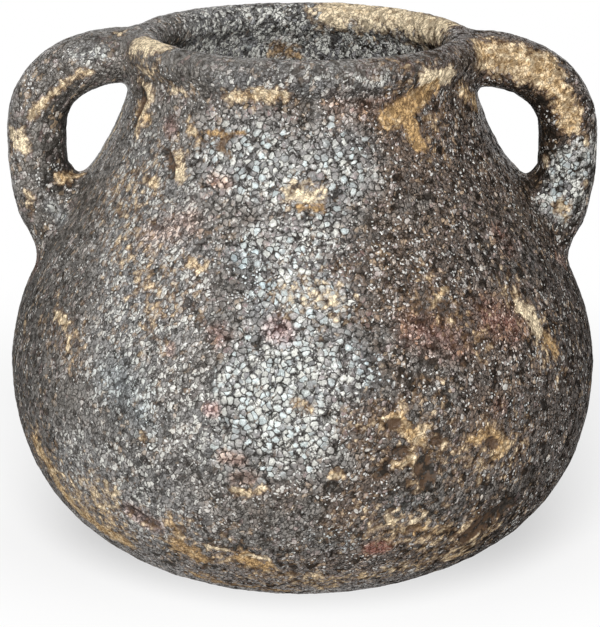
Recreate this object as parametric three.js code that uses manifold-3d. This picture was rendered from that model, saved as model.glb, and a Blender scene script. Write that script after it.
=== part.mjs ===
// A squat, round-bellied ceramic jar with two thick loop handles, put together as a potter builds it.
// A base slab carries a thrown bowl. A thrown shoulder is luted onto the bowl at the belly, with a tongue in
// a groove. A coil is pressed onto the neck as the rim. Each pulled handle is held by two wads of luting clay.
// Sizes are in millimetres and +Z is up. The origin is the centre of the flat foot.

import * as THREE from "three";
import { mergeVertices } from "three/addons/utils/BufferGeometryUtils.js";
import Module from "manifold-3d";

const wasm = await Module();
wasm.setup();

// Thrown body: its outside is two curves that meet, upright, at the belly
const FOOT_RADIUS = 39;
const FOOT_FLARE_DEG = 14.5; // how steeply the outside leaves the foot
const FOOT_SWEEP = 52; // length of the pull of the curve at the foot
const BELLY_RADIUS = 98;
const BELLY_HEIGHT = 70;
const BELLY_PULL_BELOW = 25; // how long the outside stays upright below the belly
const BELLY_PULL_ABOVE = 38; // and above it
const NECK_RADIUS = 56;
const NECK_HEIGHT = 170;
const NECK_PULL = 28; // how long the outside stays upright below the neck
const WALL = 7;
const FLOOR = 9;

// Luted seam at the belly: a tapered tongue on the bowl in a groove of the shoulder
const TONGUE_WIDTH = 3;
const TONGUE_TIP_WIDTH = 1.5;
const TONGUE_HEIGHT = 2;

// Rim coil, pressed flat where it sits on the neck
const RIM_COIL_RADIUS = 5.8;
const RIM_INSET = 3.8; // middle of the coil inside the outside of the neck
const RIM_PRESS = 0.5; // how much of the coil is pressed flat

// Pulled handles, one on each side along X
const HANDLE_REACH = 41.2; // from the outside of the neck to the outermost point
const HANDLE_THICKNESS = 19; // in the plane of the loop
const HANDLE_ROOT_THICKNESS = 17; // the same, where the top end is pressed on
const HANDLE_SWELL = 40; // length over which the top end grows to the full thickness
const HANDLE_WIDTH = 22; // across the plane of the loop
const TOP_ROOT_DROP = 9; // middle of the top end below the rim's crest
const BULGE_DROP = 34; // outermost point below the crest
const LOW_ROOT_DROP = 65.6; // middle of the low end below the crest
const TOP_ROOT_DEG = 5; // direction in which the handle leaves the rim, from +X towards +Z
const LOW_ROOT_DEG = 221; // direction in which it enters the shoulder
const TOP_ROOT_PULL = 21; // how long the handle keeps its direction at the rim
const BULGE_PULL_ABOVE = 16; // above its outermost point
const BULGE_PULL_BELOW = 14; // below that point
const LOW_ROOT_PULL = 11; // and at the shoulder
const ROOT_DEPTH = 3.2; // how far the ends of the middle line lie under the outside
const SQUARENESS = 0.8; // of the section: 1 is an oval, less is nearer to a strap

// Luting wads: how far each spreads from the handle where it meets the jar, and how far it climbs the handle
const TOP_WAD_CLIMB = 10;
const TOP_WAD_SPREAD = { out: -0.8, in: 3.5, side: 13 }; // over the rim, into the loop, to each side
const LOW_WAD_CLIMB = 18;
const LOW_WAD_SPREAD = { out: 3.5, in: 8.5, side: 11 };
const WAD_EDGE = 0.4; // thickness of a wad where it thins out on the handle

const LUTING_GAP = 0.3; // slip joint between two pieces of clay that follow each other's shape

// Facets
const TURN_STEPS = 48;
const SLAB_EDGE_STEPS = 3;
const BOWL_STEPS = 10;
const SHOULDER_STEPS = 11;
const COIL_STEPS = 12;
const HANDLE_STEPS = 22;
const WAD_STEPS = 6;
const SECTION_STEPS = 20;

const RADIANS = Math.PI / 180;
const BISECTIONS = 40;
const MERGE_TOLERANCE = 1e-4;

// Outside of the jar in the half plane, as (radius, height)
const bowlCurve = new THREE.CubicBezierCurve(
  new THREE.Vector2(FOOT_RADIUS, 0),
  new THREE.Vector2(
    FOOT_RADIUS + FOOT_SWEEP * Math.cos(FOOT_FLARE_DEG * RADIANS),
    FOOT_SWEEP * Math.sin(FOOT_FLARE_DEG * RADIANS),
  ),
  new THREE.Vector2(BELLY_RADIUS, BELLY_HEIGHT - BELLY_PULL_BELOW),
  new THREE.Vector2(BELLY_RADIUS, BELLY_HEIGHT),
);
const shoulderCurve = new THREE.CubicBezierCurve(
  new THREE.Vector2(BELLY_RADIUS, BELLY_HEIGHT),
  new THREE.Vector2(BELLY_RADIUS, BELLY_HEIGHT + BELLY_PULL_ABOVE),
  new THREE.Vector2(NECK_RADIUS, NECK_HEIGHT - NECK_PULL),
  new THREE.Vector2(NECK_RADIUS, NECK_HEIGHT),
);
const RIM_CENTRE_RADIUS = NECK_RADIUS - RIM_INSET;
const RIM_CENTRE_HEIGHT = NECK_HEIGHT + RIM_COIL_RADIUS - RIM_PRESS;
const RIM_CREST = RIM_CENTRE_HEIGHT + RIM_COIL_RADIUS;

// The point at t on a curve, moved out from the jar by a distance
function besideCurve(curve, t, distance) {
  const tangent = curve.getTangent(t);
  return curve
    .getPoint(t)
    .add(new THREE.Vector2(tangent.y, -tangent.x).multiplyScalar(distance));
}

// The t at which a curve, moved out by a distance, reaches a height
function whereAtHeight(curve, height, distance) {
  let low = 0;
  let high = 1;
  for (let i = 0; i < BISECTIONS; i++) {
    const middle = (low + high) / 2;
    if (besideCurve(curve, middle, distance).y < height) low = middle;
    else high = middle;
  }
  return (low + high) / 2;
}

// Points along a curve that is moved out by a distance, from one height to another, both exact
function alongCurve(curve, distance, fromHeight, toHeight, steps) {
  const t0 = whereAtHeight(curve, fromHeight, distance);
  const t1 = whereAtHeight(curve, toHeight, distance);
  const points = Array.from({ length: steps + 1 }, (_, i) =>
    besideCurve(curve, t0 + ((t1 - t0) * i) / steps, distance),
  );
  points[0].y = fromHeight;
  points[steps].y = toHeight;
  return points;
}

// A closed ring or a disc, turned from an outline that runs anticlockwise in the half plane
function turned(outline) {
  const onAxis = outline[0].x === 0;
  const closed = onAxis ? outline : [...outline, outline[0]];
  return new THREE.LatheGeometry(closed, TURN_STEPS).rotateX(Math.PI / 2);
}

// Joins vertices at one place and gives the closed mesh to the boolean library
function solidOf(geometry) {
  const bare = new THREE.BufferGeometry();
  bare.setAttribute("position", geometry.getAttribute("position"));
  bare.setIndex(geometry.index);
  const merged = mergeVertices(bare, MERGE_TOLERANCE);
  return new wasm.Manifold(
    new wasm.Mesh({
      numProp: 3,
      vertProperties: merged.attributes.position.array,
      triVerts: new Uint32Array(merged.index.array),
    }),
  );
}

function geometryOf(solid) {
  const mesh = solid.getMesh();
  const geometry = new THREE.BufferGeometry();
  geometry.setAttribute(
    "position",
    new THREE.BufferAttribute(new Float32Array(mesh.vertProperties), 3),
  );
  geometry.setIndex(new THREE.BufferAttribute(new Uint32Array(mesh.triVerts), 1));
  geometry.computeVertexNormals();
  return geometry;
}

// Base slab: its edge already follows the outside of the jar
function baseSlab() {
  const edge = alongCurve(bowlCurve, 0, 0, FLOOR, SLAB_EDGE_STEPS);
  return turned([new THREE.Vector2(0, 0), ...edge, new THREE.Vector2(0, FLOOR)]);
}

// The tongue at the belly seam, or its groove, from the outside of the wall to the inside
function seamOutline(clearance) {
  const middle = BELLY_RADIUS - WALL / 2;
  const foot = TONGUE_WIDTH / 2 + clearance;
  const tip = TONGUE_TIP_WIDTH / 2 + clearance;
  const top = BELLY_HEIGHT + TONGUE_HEIGHT + clearance;
  return [
    new THREE.Vector2(middle + foot, BELLY_HEIGHT),
    new THREE.Vector2(middle + tip, top),
    new THREE.Vector2(middle - tip, top),
    new THREE.Vector2(middle - foot, BELLY_HEIGHT),
  ];
}

// Thrown bowl, from the slab to the belly
function lowerBowl() {
  const outside = alongCurve(bowlCurve, 0, FLOOR, BELLY_HEIGHT, BOWL_STEPS);
  const inside = alongCurve(bowlCurve, -WALL, BELLY_HEIGHT, FLOOR, BOWL_STEPS);
  return turned([...outside, ...seamOutline(0), ...inside]);
}

// Thrown shoulder and neck, from the belly to the rim
function shoulderWall() {
  const outside = alongCurve(shoulderCurve, 0, BELLY_HEIGHT, NECK_HEIGHT, SHOULDER_STEPS);
  const inside = alongCurve(shoulderCurve, -WALL, NECK_HEIGHT, BELLY_HEIGHT, SHOULDER_STEPS);
  return turned([...outside, ...inside, ...seamOutline(LUTING_GAP).reverse()]);
}

// Rim coil, or the space that it takes with a clearance round it
function rimRoll(clearance) {
  const radius = RIM_COIL_RADIUS + clearance;
  const flat = NECK_HEIGHT - RIM_CENTRE_HEIGHT - clearance;
  const start = Math.asin(flat / radius);
  const sweep = Math.PI - 2 * start;
  const coil = Array.from({ length: COIL_STEPS + 1 }, (_, i) => {
    const angle = start + (sweep * i) / COIL_STEPS;
    return new THREE.Vector2(
      RIM_CENTRE_RADIUS + radius * Math.cos(angle),
      RIM_CENTRE_HEIGHT + radius * Math.sin(angle),
    );
  });
  const foot = NECK_HEIGHT - clearance;
  coil[0].y = foot;
  coil[COIL_STEPS].y = foot;
  return turned(coil);
}

// Everything inside the jar's outside plus a clearance, without the rim: what a handle is cut back from
function bodySpace(clearance) {
  const outside = alongCurve(
    shoulderCurve,
    clearance,
    BELLY_HEIGHT,
    NECK_HEIGHT,
    SHOULDER_STEPS,
  );
  return turned([
    new THREE.Vector2(0, BELLY_HEIGHT),
    ...outside,
    new THREE.Vector2(0, NECK_HEIGHT),
  ]);
}

// Path of a handle's middle line, in the plane of X and Z: out from the rim, round the loop, into the shoulder
function handlePath() {
  const reach = NECK_RADIUS + HANDLE_REACH - HANDLE_THICKNESS / 2;
  const bulge = new THREE.Vector3(reach, 0, RIM_CREST - BULGE_DROP);
  const top = new THREE.Vector3(NECK_RADIUS - ROOT_DEPTH, 0, RIM_CREST - TOP_ROOT_DROP);
  const lowHeight = RIM_CREST - LOW_ROOT_DROP;
  const underOutside = whereAtHeight(shoulderCurve, lowHeight, -ROOT_DEPTH);
  const low = new THREE.Vector3(
    besideCurve(shoulderCurve, underOutside, -ROOT_DEPTH).x,
    0,
    lowHeight,
  );
  const leaves = TOP_ROOT_DEG * RADIANS;
  const topPull = new THREE.Vector3(Math.cos(leaves), 0, Math.sin(leaves));
  const enters = LOW_ROOT_DEG * RADIANS;
  const lowPull = new THREE.Vector3(Math.cos(enters), 0, Math.sin(enters));
  return [
    new THREE.CubicBezierCurve3(
      top,
      top.clone().addScaledVector(topPull, TOP_ROOT_PULL),
      bulge.clone().add(new THREE.Vector3(0, 0, BULGE_PULL_ABOVE)),
      bulge,
    ),
    new THREE.CubicBezierCurve3(
      bulge,
      bulge.clone().sub(new THREE.Vector3(0, 0, BULGE_PULL_BELOW)),
      low.clone().addScaledVector(lowPull, -LOW_ROOT_PULL),
      low,
    ),
  ];
}

// Where the path is, and which way it runs, at a distance from its start
function onPath(path, distance) {
  const [upper, lower] = path;
  const split = upper.getLength();
  const curve = distance <= split ? upper : lower;
  const done = distance <= split ? distance / split : (distance - split) / lower.getLength();
  const share = THREE.MathUtils.clamp(done, 0, 1);
  return { centre: curve.getPointAt(share), along: curve.getTangentAt(share) };
}

// A rounded bar along part of the path. extents(distance) gives how far its section reaches out of the loop,
// into the loop and to each side, at a distance along the path.
function barAlong(path, from, to, steps, extents) {
  const positions = [];
  for (let i = 0; i <= steps; i++) {
    const distance = from + ((to - from) * i) / steps;
    const { centre, along } = onPath(path, distance);
    const outward = new THREE.Vector3(-along.z, 0, along.x);
    const reach = extents(distance);
    for (let j = 0; j < SECTION_STEPS; j++) {
      const [across, sideways] = roundedSection((2 * Math.PI * j) / SECTION_STEPS);
      const thick = across > 0 ? reach.out : reach.in;
      const point = centre.clone().addScaledVector(outward, across * thick);
      positions.push(point.x, sideways * reach.side, point.z);
    }
  }
  return cappedRings(positions, steps + 1);
}

// A section between an oval and a rounded strap, in units of its own half sizes
function roundedSection(angle) {
  const shape = (value) => Math.sign(value) * Math.abs(value) ** SQUARENESS;
  return [shape(Math.cos(angle)), shape(Math.sin(angle))];
}

// Rings of points joined into a tube with flat ends
function cappedRings(positions, rings) {
  const index = [];
  const last = (rings - 1) * SECTION_STEPS;
  for (let j = 0; j < SECTION_STEPS; j++) {
    const next = (j + 1) % SECTION_STEPS;
    for (let i = 0; i < rings - 1; i++) {
      const a = i * SECTION_STEPS;
      const b = a + SECTION_STEPS;
      index.push(a + j, b + j, a + next, b + j, b + next, a + next);
    }
    if (j > 0 && next > 0) {
      index.push(0, j, next, last, last + next, last + j);
    }
  }
  const geometry = new THREE.BufferGeometry();
  geometry.setAttribute("position", new THREE.Float32BufferAttribute(positions, 3));
  geometry.setIndex(index);
  return geometry;
}

// Half sizes of the handle's section: a little slimmer where the top end is pressed on
function handleExtents(distance, clearance) {
  const swell = THREE.MathUtils.smoothstep(distance, 0, HANDLE_SWELL);
  const thickness = THREE.MathUtils.lerp(HANDLE_ROOT_THICKNESS, HANDLE_THICKNESS, swell);
  return {
    out: thickness / 2 + clearance,
    in: thickness / 2 + clearance,
    side: HANDLE_WIDTH / 2 + clearance,
  };
}

// Half sizes of a wad's section: thin on the handle, spread where it meets the jar
function wadExtents(distance, fromRoot, climb, spread) {
  const handle = handleExtents(distance, LUTING_GAP + WAD_EDGE);
  const near = THREE.MathUtils.clamp(1 - fromRoot / climb, 0, 1) ** 2;
  return {
    out: handle.out + spread.out * near,
    in: handle.in + spread.in * near,
    side: handle.side + spread.side * near,
  };
}

// The handle and its two wads as solids, for the side towards +X
function handleSolids() {
  const path = handlePath();
  const length = path[0].getLength() + path[1].getLength();
  const jar = solidOf(bodySpace(LUTING_GAP)).add(solidOf(rimRoll(LUTING_GAP)));
  const bar = (clearance) =>
    solidOf(barAlong(path, 0, length, HANDLE_STEPS, (d) => handleExtents(d, clearance)));
  const handleSpace = bar(LUTING_GAP);
  const wad = (from, to, fromRoot, climb, spread) =>
    solidOf(
      barAlong(path, from, to, WAD_STEPS, (d) => wadExtents(d, fromRoot(d), climb, spread)),
    )
      .subtract(handleSpace)
      .subtract(jar);
  const topClimb = TOP_WAD_CLIMB + ROOT_DEPTH;
  const lowClimb = LOW_WAD_CLIMB + ROOT_DEPTH;
  return {
    handle: bar(0).subtract(jar),
    upper_luting: wad(0, topClimb, (d) => d, topClimb, TOP_WAD_SPREAD),
    lower_luting: wad(length - lowClimb, length, (d) => length - d, lowClimb, LOW_WAD_SPREAD),
  };
}

// Materials
const glaze = new THREE.MeshStandardMaterial({ color: 0x4a423c, roughness: 0.5, metalness: 0 });
const rimGlaze = new THREE.MeshStandardMaterial({ color: 0x4d4843, roughness: 0.6, metalness: 0 });
const handleGlaze = new THREE.MeshStandardMaterial({ color: 0x5a5048, roughness: 0.5, metalness: 0 });
const lutingClay = new THREE.MeshStandardMaterial({ color: 0x7a6144, roughness: 0.8, metalness: 0 });
const bareClay = new THREE.MeshStandardMaterial({ color: 0x8a6a45, roughness: 0.9, metalness: 0 });

function piece(name, geometry, material) {
  const mesh = new THREE.Mesh(geometry, material);
  mesh.name = name;
  return mesh;
}

// One handle with its wads, as a group that is turned about the jar's axis to its side
function handleGroup(side, turn, solids) {
  const group = new THREE.Group();
  group.add(piece(`${side}_handle`, geometryOf(solids.handle), handleGlaze));
  group.add(piece(`${side}_upper_luting`, geometryOf(solids.upper_luting), lutingClay));
  group.add(piece(`${side}_lower_luting`, geometryOf(solids.lower_luting), lutingClay));
  group.rotation.z = turn;
  return group;
}

const jar = new THREE.Group();
jar.add(piece("base_slab", baseSlab(), bareClay));
jar.add(piece("lower_bowl", lowerBowl(), glaze));
jar.add(piece("shoulder_wall", shoulderWall(), glaze));
jar.add(piece("rim_roll", rimRoll(0), rimGlaze));
const solids = handleSolids();
jar.add(handleGroup("right", 0, solids));
jar.add(handleGroup("left", Math.PI, solids));

export default jar;
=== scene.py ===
"""A squat, round-bellied ceramic jar with two loop handles, in a dark crater glaze, on a white floor.

Sizes follow the solids of the frame. The looks add what hands and kiln leave on them: a slight lean,
pits, scars and pebbly glaze cells in the mesh itself, and worn clay and stains in the glaze. Painted into
the glaze's colour are glints, sheen on the pale cells, and shade at the sides, inside and under the rim.
"""

import math

import bpy
import numpy as np
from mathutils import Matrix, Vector


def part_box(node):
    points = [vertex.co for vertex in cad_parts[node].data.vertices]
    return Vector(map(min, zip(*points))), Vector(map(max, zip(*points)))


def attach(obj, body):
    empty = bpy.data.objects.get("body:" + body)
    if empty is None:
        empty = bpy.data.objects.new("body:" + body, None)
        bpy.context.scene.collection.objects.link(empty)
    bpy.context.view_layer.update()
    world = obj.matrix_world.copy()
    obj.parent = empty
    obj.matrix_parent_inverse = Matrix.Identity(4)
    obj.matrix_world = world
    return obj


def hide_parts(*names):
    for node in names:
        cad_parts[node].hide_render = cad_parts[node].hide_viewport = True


bl_info = {
    "name": "Handled Jar",
    "version": (1, 0, 0),
    "blender": (4, 5, 0),
    "location": "View3D > Sidebar > Jar",
    "description": "Builds a two-handled ceramic jar with a crater glaze, and a studio round it",
    "category": "Add Mesh",
}

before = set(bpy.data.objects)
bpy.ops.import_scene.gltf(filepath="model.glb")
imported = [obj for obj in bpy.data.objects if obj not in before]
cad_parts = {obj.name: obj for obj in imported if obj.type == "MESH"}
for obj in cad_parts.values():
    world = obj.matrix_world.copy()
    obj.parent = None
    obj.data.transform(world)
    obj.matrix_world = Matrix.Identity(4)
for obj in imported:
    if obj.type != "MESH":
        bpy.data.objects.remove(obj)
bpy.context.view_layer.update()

MM = 0.001
NECK_RADIUS = 56 * MM

# Fineness of the meshes and of the lines they follow
TURNS = 640
OUTSIDE_STEP = 0.92 * MM
INSIDE_STEP = 3.9 * MM
HIDDEN_STEP = 4.5 * MM
RIM_STEP = 0.75 * MM
HANDLE_RINGS = 190
HANDLE_SIDES = 120
WAD_RINGS = 48
WAD_SIDES = 170
WALL_CURVE_POINTS = 500
HANDLE_CURVE_POINTS = 200
COIL_POINTS = 160
BEND_POINTS = 40
SHARP_EDGE = math.radians(58)

# Just enough to read the inside above the floor, and not the floor itself
HAIR = 1e-6

# How freely the glaze's relief moves the skin inside the jar and at the edge of the foot
INSIDE_FREEDOM = 0.6
FOOT_EDGE_FREEDOM = 0.2

# Wads: how far they stand over what they cover, how deep their hems dive, the share of a wad that is
# hem, its thickness, and how far from the handle's plane its fillet changes to that of the sides
WAD_LIFT = 0.2 * MM
WAD_DIVE = 0.5 * MM
WAD_HEM = 0.16
WAD_BODY = 1.6 * MM
WAD_ASIDE = (10 * MM, 17 * MM)

# The jar's skin near the handles: heights outside and inside at which it begins and ends, and its step
REACHED_OUTSIDE = 60 * MM
REACHED_INSIDE = 140 * MM
REACHED_STEP = 0.7 * MM

# Waves that make the wall uneven: seed, number, what their sum is divided by, and its shift outward
SWAY_SEED = 3
SWAY_WAVES = 7
SWAY_LEVEL = 2.6
SWAY_OUTWARD = 0.6

# Zones of the glaze. A pair tells where a change begins and where it ends. Dull turns are sines.
FREE_HEIGHTS = (0.5 * MM, 6 * MM)
# Painted shade: the dull zones at the jar's left and right sides are darker in colour
DULL_AND_SHADE_SIDE_TURNS = (0.68, 1.0)
DULL_AND_SHADE_SIDE_HEIGHTS = (95 * MM, 135 * MM)
# At the lower right the glaze is made darker and less glossy
DULL_RIGHT = 0.95
DULL_RIGHT_TURNS = (0.15, 0.7)
DULL_RIGHT_HEIGHTS = (32 * MM, 70 * MM)
# Painted shade: inside below the neck the glaze is darker and duller
DULL_AND_SHADE_BELOW_NECK = 18 * MM
BROWN_TURN = math.radians(10)
BROWN_HEIGHTS = (12 * MM, 45 * MM)
CALM_ABOVE_NECK = (4 * MM, 9 * MM)
CALM_WITHIN_NECK = (6 * MM, 3 * MM)
BARE_HEIGHT = 0.3 * MM
BARE_EDGE = 9 * MM
# Painted shade in the groove under the rim roll: how widely it spreads and how dark it is
GROOVE_SPREAD = 0.45
GROOVE_SHADE = 0.4

# Sizes of the lumps in the glaze's noises
TONE_SIZE = 30 * MM
CLOUD_SIZE = 16 * MM
SHARE_SIZE = 9 * MM
PATCH_SIZE = 7 * MM
SHADE_SIZE = 4.5 * MM
HOLLOW_SIZE = 3.0 * MM
WRINKLE_SIZE = 3.0 * MM
CRUST_SIZE = 3 * MM
FLECK_SIZE = 2.2 * MM
CRINKLE_SIZE = 1.2 * MM
GRAIN_SIZE = 0.5 * MM

# The way in which the glaze has run, and how far its fine cells and wrinkles are drawn out along it
FLOW_WAY = (0.45, 0.0, 0.89)
CELL_FLOW = 0.42
WRINKLE_FLOW = 0.5

# Places on the jar: a turn in degrees from the front, rising towards the right handle, a height in
# millimetres and, for places off the plain outside, a distance from the axis in millimetres.
# Worn clay: how fair it is (0 ochre, 1 cream), how fully it is bared, its half width, and its path
WORN_PLACES = (
    (0.55, 1.15, 1.8, (-23, 169.5), (-13, 170.8), (-6, 170.5)),
    (0.80, 0.9, 1.2, (-46, 169), (-41, 169)),
    (0.45, 0.9, 2.0, (-36, 159), (-33, 155)),
    (0.10, 0.9, 0.9, (-30, 158), (-24, 158), (-18, 159)),
    (0.10, 0.9, 0.7, (-23, 157), (-26, 154), (-22, 152)),
    (0.70, 1.3, 1.4, (-38, 149), (-36, 144)),
    (0.50, 0.9, 1.7, (-48, 142), (-44, 141)),
    (0.60, 1.0, 1.3, (-68, 169, 58), (-58, 166), (-57, 163), (-60, 157), (-60, 153)),
    (0.40, 0.9, 2.6, (-64, 160), (-57, 158)),
    (0.60, 0.8, 2.0, (-62, 173, 57), (-52, 173, 58)),
    (0.90, 1.3, 3.6, (-69, 180, 56), (-63, 181, 54), (-56, 181, 53)),
    (0.70, 0.8, 1.1, (-83, 157), (-84, 146), (-85, 137)),
    (0.75, 1.3, 4.6, (168, 180, 49), (156, 180, 49), (141, 180, 48), (123, 180, 48), (107, 180, 48)),
    (0.80, 1.3, 2.2, (41, 174, 58), (52, 173, 57)),
    (0.20, 1.6, 2.4, (46, 172, 57), (42, 169), (34, 165), (28, 163)),
    (0.10, 1.4, 1.8, (34, 165), (36, 158), (37, 154)),
    (0.35, 0.9, 2.4, (63, 166), (73, 161)),
    (1.00, 1.0, 3.0, (-1, 143), (3, 142)),
    (0.10, 0.9, 1.2, (-1, 138.5), (5, 139)),
    (0.40, 0.9, 1.4, (-1, 85), (1, 84)),
    (0.50, 0.9, 1.8, (-26, 122), (-23, 121)),
    (0.35, 1.2, 2.0, (17, 80), (19, 75), (21, 72)),
    (0.45, 1.1, 1.7, (17, 65), (20, 66), (20, 68)),
    (0.30, 1.1, 1.9, (32, 69), (36, 70), (40, 64), (38, 62)),
    (0.50, 0.9, 1.4, (20, 58), (22, 56)),
    (0.55, 1.0, 1.8, (16, 46), (19, 42)),
    (0.20, 1.0, 2.6, (21, 41), (22, 41)),
    (0.90, 1.0, 0.9, (20, 44), (23, 45)),
    (0.50, 1.0, 1.6, (35, 23), (41, 22)),
    (0.40, 0.9, 2.0, (5, 14), (8, 17)),
    (0.40, 0.9, 1.6, (5, 63), (6, 63)),
    (0.40, 1.3, 2.6, (-63, 54), (-59, 48), (-57, 41), (-55, 35)),
    (0.35, 1.3, 2.6, (-54, 34), (-50, 32), (-47, 29), (-42, 27)),
    (0.55, 0.9, 2.0, (-40, 50), (-38, 48)),
    (0.35, 0.7, 3.2, (-52, 37), (-44, 40), (-40, 35)),
    (0.35, 1.0, 2.2, (-26, 42), (-25, 38)),
    (0.20, 1.15, 3.0, (-26, 33), (-22, 29)),
    (0.90, 1.0, 1.0, (-19, 34), (-16, 33)),
    (0.20, 1.15, 3.0, (-12, 30), (-8, 28)),
    (0.85, 1.0, 0.9, (-11, 32), (-7, 31)),
    (0.50, 0.9, 1.3, (-13, 57), (-10, 56), (-7, 58)),
    (0.50, 0.8, 1.2, (-30, 70), (-30, 71)),
    (0.15, 0.8, 3.0, (-26, 17), (-16, 14), (-6, 12)),
    (0.55, 1.0, 2.0, (-58, 98), (-54, 97)),
    (0.55, 0.9, 1.0, (-52, 94), (-51, 90)),
    (0.60, 0.9, 1.0, (-74, 91), (-71, 86)),
    (0.50, 1.2, 0.9, (27, 109), (29, 112), (32, 114)),
    (0.75, 0.62, 6.0, (0, 116), (6, 113)),
    (0.90, 1.4, 1.8, (50, 104), (53, 100), (53, 95)),
    (0.25, 1.2, 1.9, (55, 92), (57, 88)),
    (0.30, 0.9, 1.5, (75, 67), (76, 66)),
    (0.35, 0.58, 8.0, (-26, 34), (-12, 27), (2, 18)),
    (0.40, 0.55, 9.0, (17, 74), (30, 64), (40, 64)),
    (0.40, 0.58, 6.0, (50, 108), (56, 88)),
    (0.30, 0.46, 7.0, (34, 172, 57), (46, 164), (40, 154)),
    (0.45, 0.62, 7.0, (-62, 52), (-52, 40), (-42, 46), (-44, 32)),
    (0.40, 0.62, 5.0, (-9, 25), (6, 20), (18, 22), (34, 26), (40, 28)),
    (0.20, 1.20, 1.6, (-168, 165, 50), (-178, 164, 50)),
    (0.40, 0.42, 6.0, (-50, 148), (-38, 152)),
    (0.40, 0.56, 8.0, (14, 45), (24, 40), (40, 30)),
    (0.35, 0.40, 6.0, (-60, 100), (-50, 92)),
    (0.35, 0.50, 9.0, (-55, 137), (-42, 122), (-30, 108)),
    (0.30, 0.52, 6.0, (26, 112), (36, 100)),
)

# The same on the handles, with places as distances along X, Y and Z in millimetres
WORN_HANDLE_PLACES = (
    (0.55, 1.0, 1.5, (-69, -11, 169), (-73, -11, 168), (-79, -11, 163), (-84, -11, 158), (-88, -11, 154)),
    (0.80, 1.0, 2.2, (-95, -8, 148), (-94, -9, 144)),
    (0.70, 1.0, 2.2, (-91, -11, 148), (-91, -11, 143)),
    (0.55, 1.0, 1.6, (-90, -11, 128), (-90, -12, 121)),
    (0.40, 1.0, 2.2, (-79, -8, 133), (-74, -3, 133)),
    (0.65, 0.9, 1.8, (-61, -5, 181), (-59, -6, 181)),
    (0.45, 1.5, 5.0, (59, -13, 177), (65, -11, 175), (72, -11, 173), (79, -10, 170)),
    (0.40, 1.4, 3.4, (80, -11, 167), (84, -11, 162), (87, -11, 153)),
    (0.50, 1.4, 2.4, (85, -13, 125), (89, -15, 119)),
    (0.50, 0.9, 1.2, (93, -10, 133), (93, -11, 130)),
    (0.50, 0.8, 1.2, (93, -10, 148), (93, -10, 146)),
    (0.75, 1.2, 2.0, (75, -6, 138), (78, -8, 139)),
)

# Stains: their hue (1 rust, 0 plum, -1 blue grey), strength, half width, path. The broad blue-grey one on
# the left shoulder is a painted bluish sheen.
STAIN_AND_SHEEN_PLACES = (
    (0.8, 0.9, 2.0, (-25, 145), (-21, 144)),
    (0.4, 0.9, 2.4, (-45, 158), (-44, 157)),
    (0.2, 1.0, 3.4, (-5, 106), (-4, 105)),
    (0.2, 1.2, 1.7, (-17, 82), (-16, 82)),
    (1.0, 2.2, 2.4, (14, 35), (16, 35)),
    (0.8, 0.8, 2.0, (-12, 61), (-9, 62)),
    (0.8, 0.8, 2.0, (-14, 68), (-11, 67)),
    (0.4, 0.8, 3.0, (-35, 43), (-30, 39)),
    (0.8, 0.8, 2.5, (38, 78), (39, 77)),
    (0.7, 0.6, 4.0, (54, 125), (55, 120)),
    (0.7, 0.9, 6.0, (23, 104), (30, 100)),
    (0.9, 1.0, 6.0, (40, 104), (46, 100)),
    (0.8, 0.7, 2.5, (76, 110), (80, 106)),
    (0.6, 0.8, 1.6, (-26, 98), (-26, 97)),
    (0.4, 0.7, 3.0, (-17, 104), (-16, 103)),
    (0.7, 0.5, 6.0, (-39, 127), (-29, 132)),
    (0.6, 0.4, 5.0, (10, 168), (30, 166)),
    (-1.0, 0.9, 4.0, (17, 52), (19, 50)),
    (-1.0, 0.9, 4.5, (4, 40), (8, 38)),
    (-1.0, 0.8, 4.0, (42, 74), (44, 72)),
    # Painted bluish sheen on the left shoulder
    (-1.0, 0.6, 8.0, (-38, 86), (-30, 78)),
    (-1.0, 0.7, 5.0, (12, 100), (14, 92)),
    (-1.0, 0.6, 6.0, (-14, 124), (-10, 116)),
)

# Pale, silvery glaze, partly painted sheen and reflection where the glossy glaze catches the lights on the
# front and left: strength, half width, path
PALE_AND_SHEEN_PLACES = (
    (1.00, 9.0, (-8, 92), (-5, 84), (-2, 78)),
    (0.80, 8.0, (-1, 96), (2, 88)),
    (0.85, 7.0, (0, 116), (5, 113)),
    (0.65, 8.0, (-6, 108), (-3, 102)),
    (0.60, 8.0, (-9, 127), (-4, 122)),
    (0.50, 6.0, (1, 131), (6, 132)),
    (0.50, 6.0, (8, 100), (9, 92)),
    (0.45, 8.0, (-17, 84), (-16, 74)),
    (0.65, 10.0, (-20, 152), (-4, 148), (10, 150)),
    (0.52, 14.0, (-50, 142), (-38, 126), (-30, 112)),
    (0.50, 13.0, (-44, 54), (-28, 46)),
    (0.38, 10.0, (-40, 99), (-30, 95)),
    (0.32, 12.0, (-36, 84), (-26, 72)),
    (0.38, 9.0, (-12, 68), (2, 68)),
    (0.40, 10.0, (-44, 120), (-38, 110)),
    (0.55, 5.0, (-25, 178, 57), (0, 177, 57), (24, 177, 58)),
    # Painted light on the far inside of the rim, which lies in shade, with its pale glaze
    (1.05, 12.0, (-140, 168, 48), (-160, 168, 48), (-179, 170, 47), (160, 170, 47), (140, 168, 48)),
)

# The same on the handles, partly painted sheen, with places along X, Y and Z. The cells are coarser there
# too.
PALE_AND_SHEEN_HANDLE_PLACES = (
    (0.95, 2.6, (-83, -14, 125), (-80, -16, 122)),
    (0.70, 3.5, (-72, -11, 176), (-66, -11, 176)),
    (1.10, 3.4, (85, -11, 140), (82, -12, 134), (80, -14, 127)),
    (0.90, 5.0, (91, -9, 142), (90, -10, 134), (86, -13, 124)),
)

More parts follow.
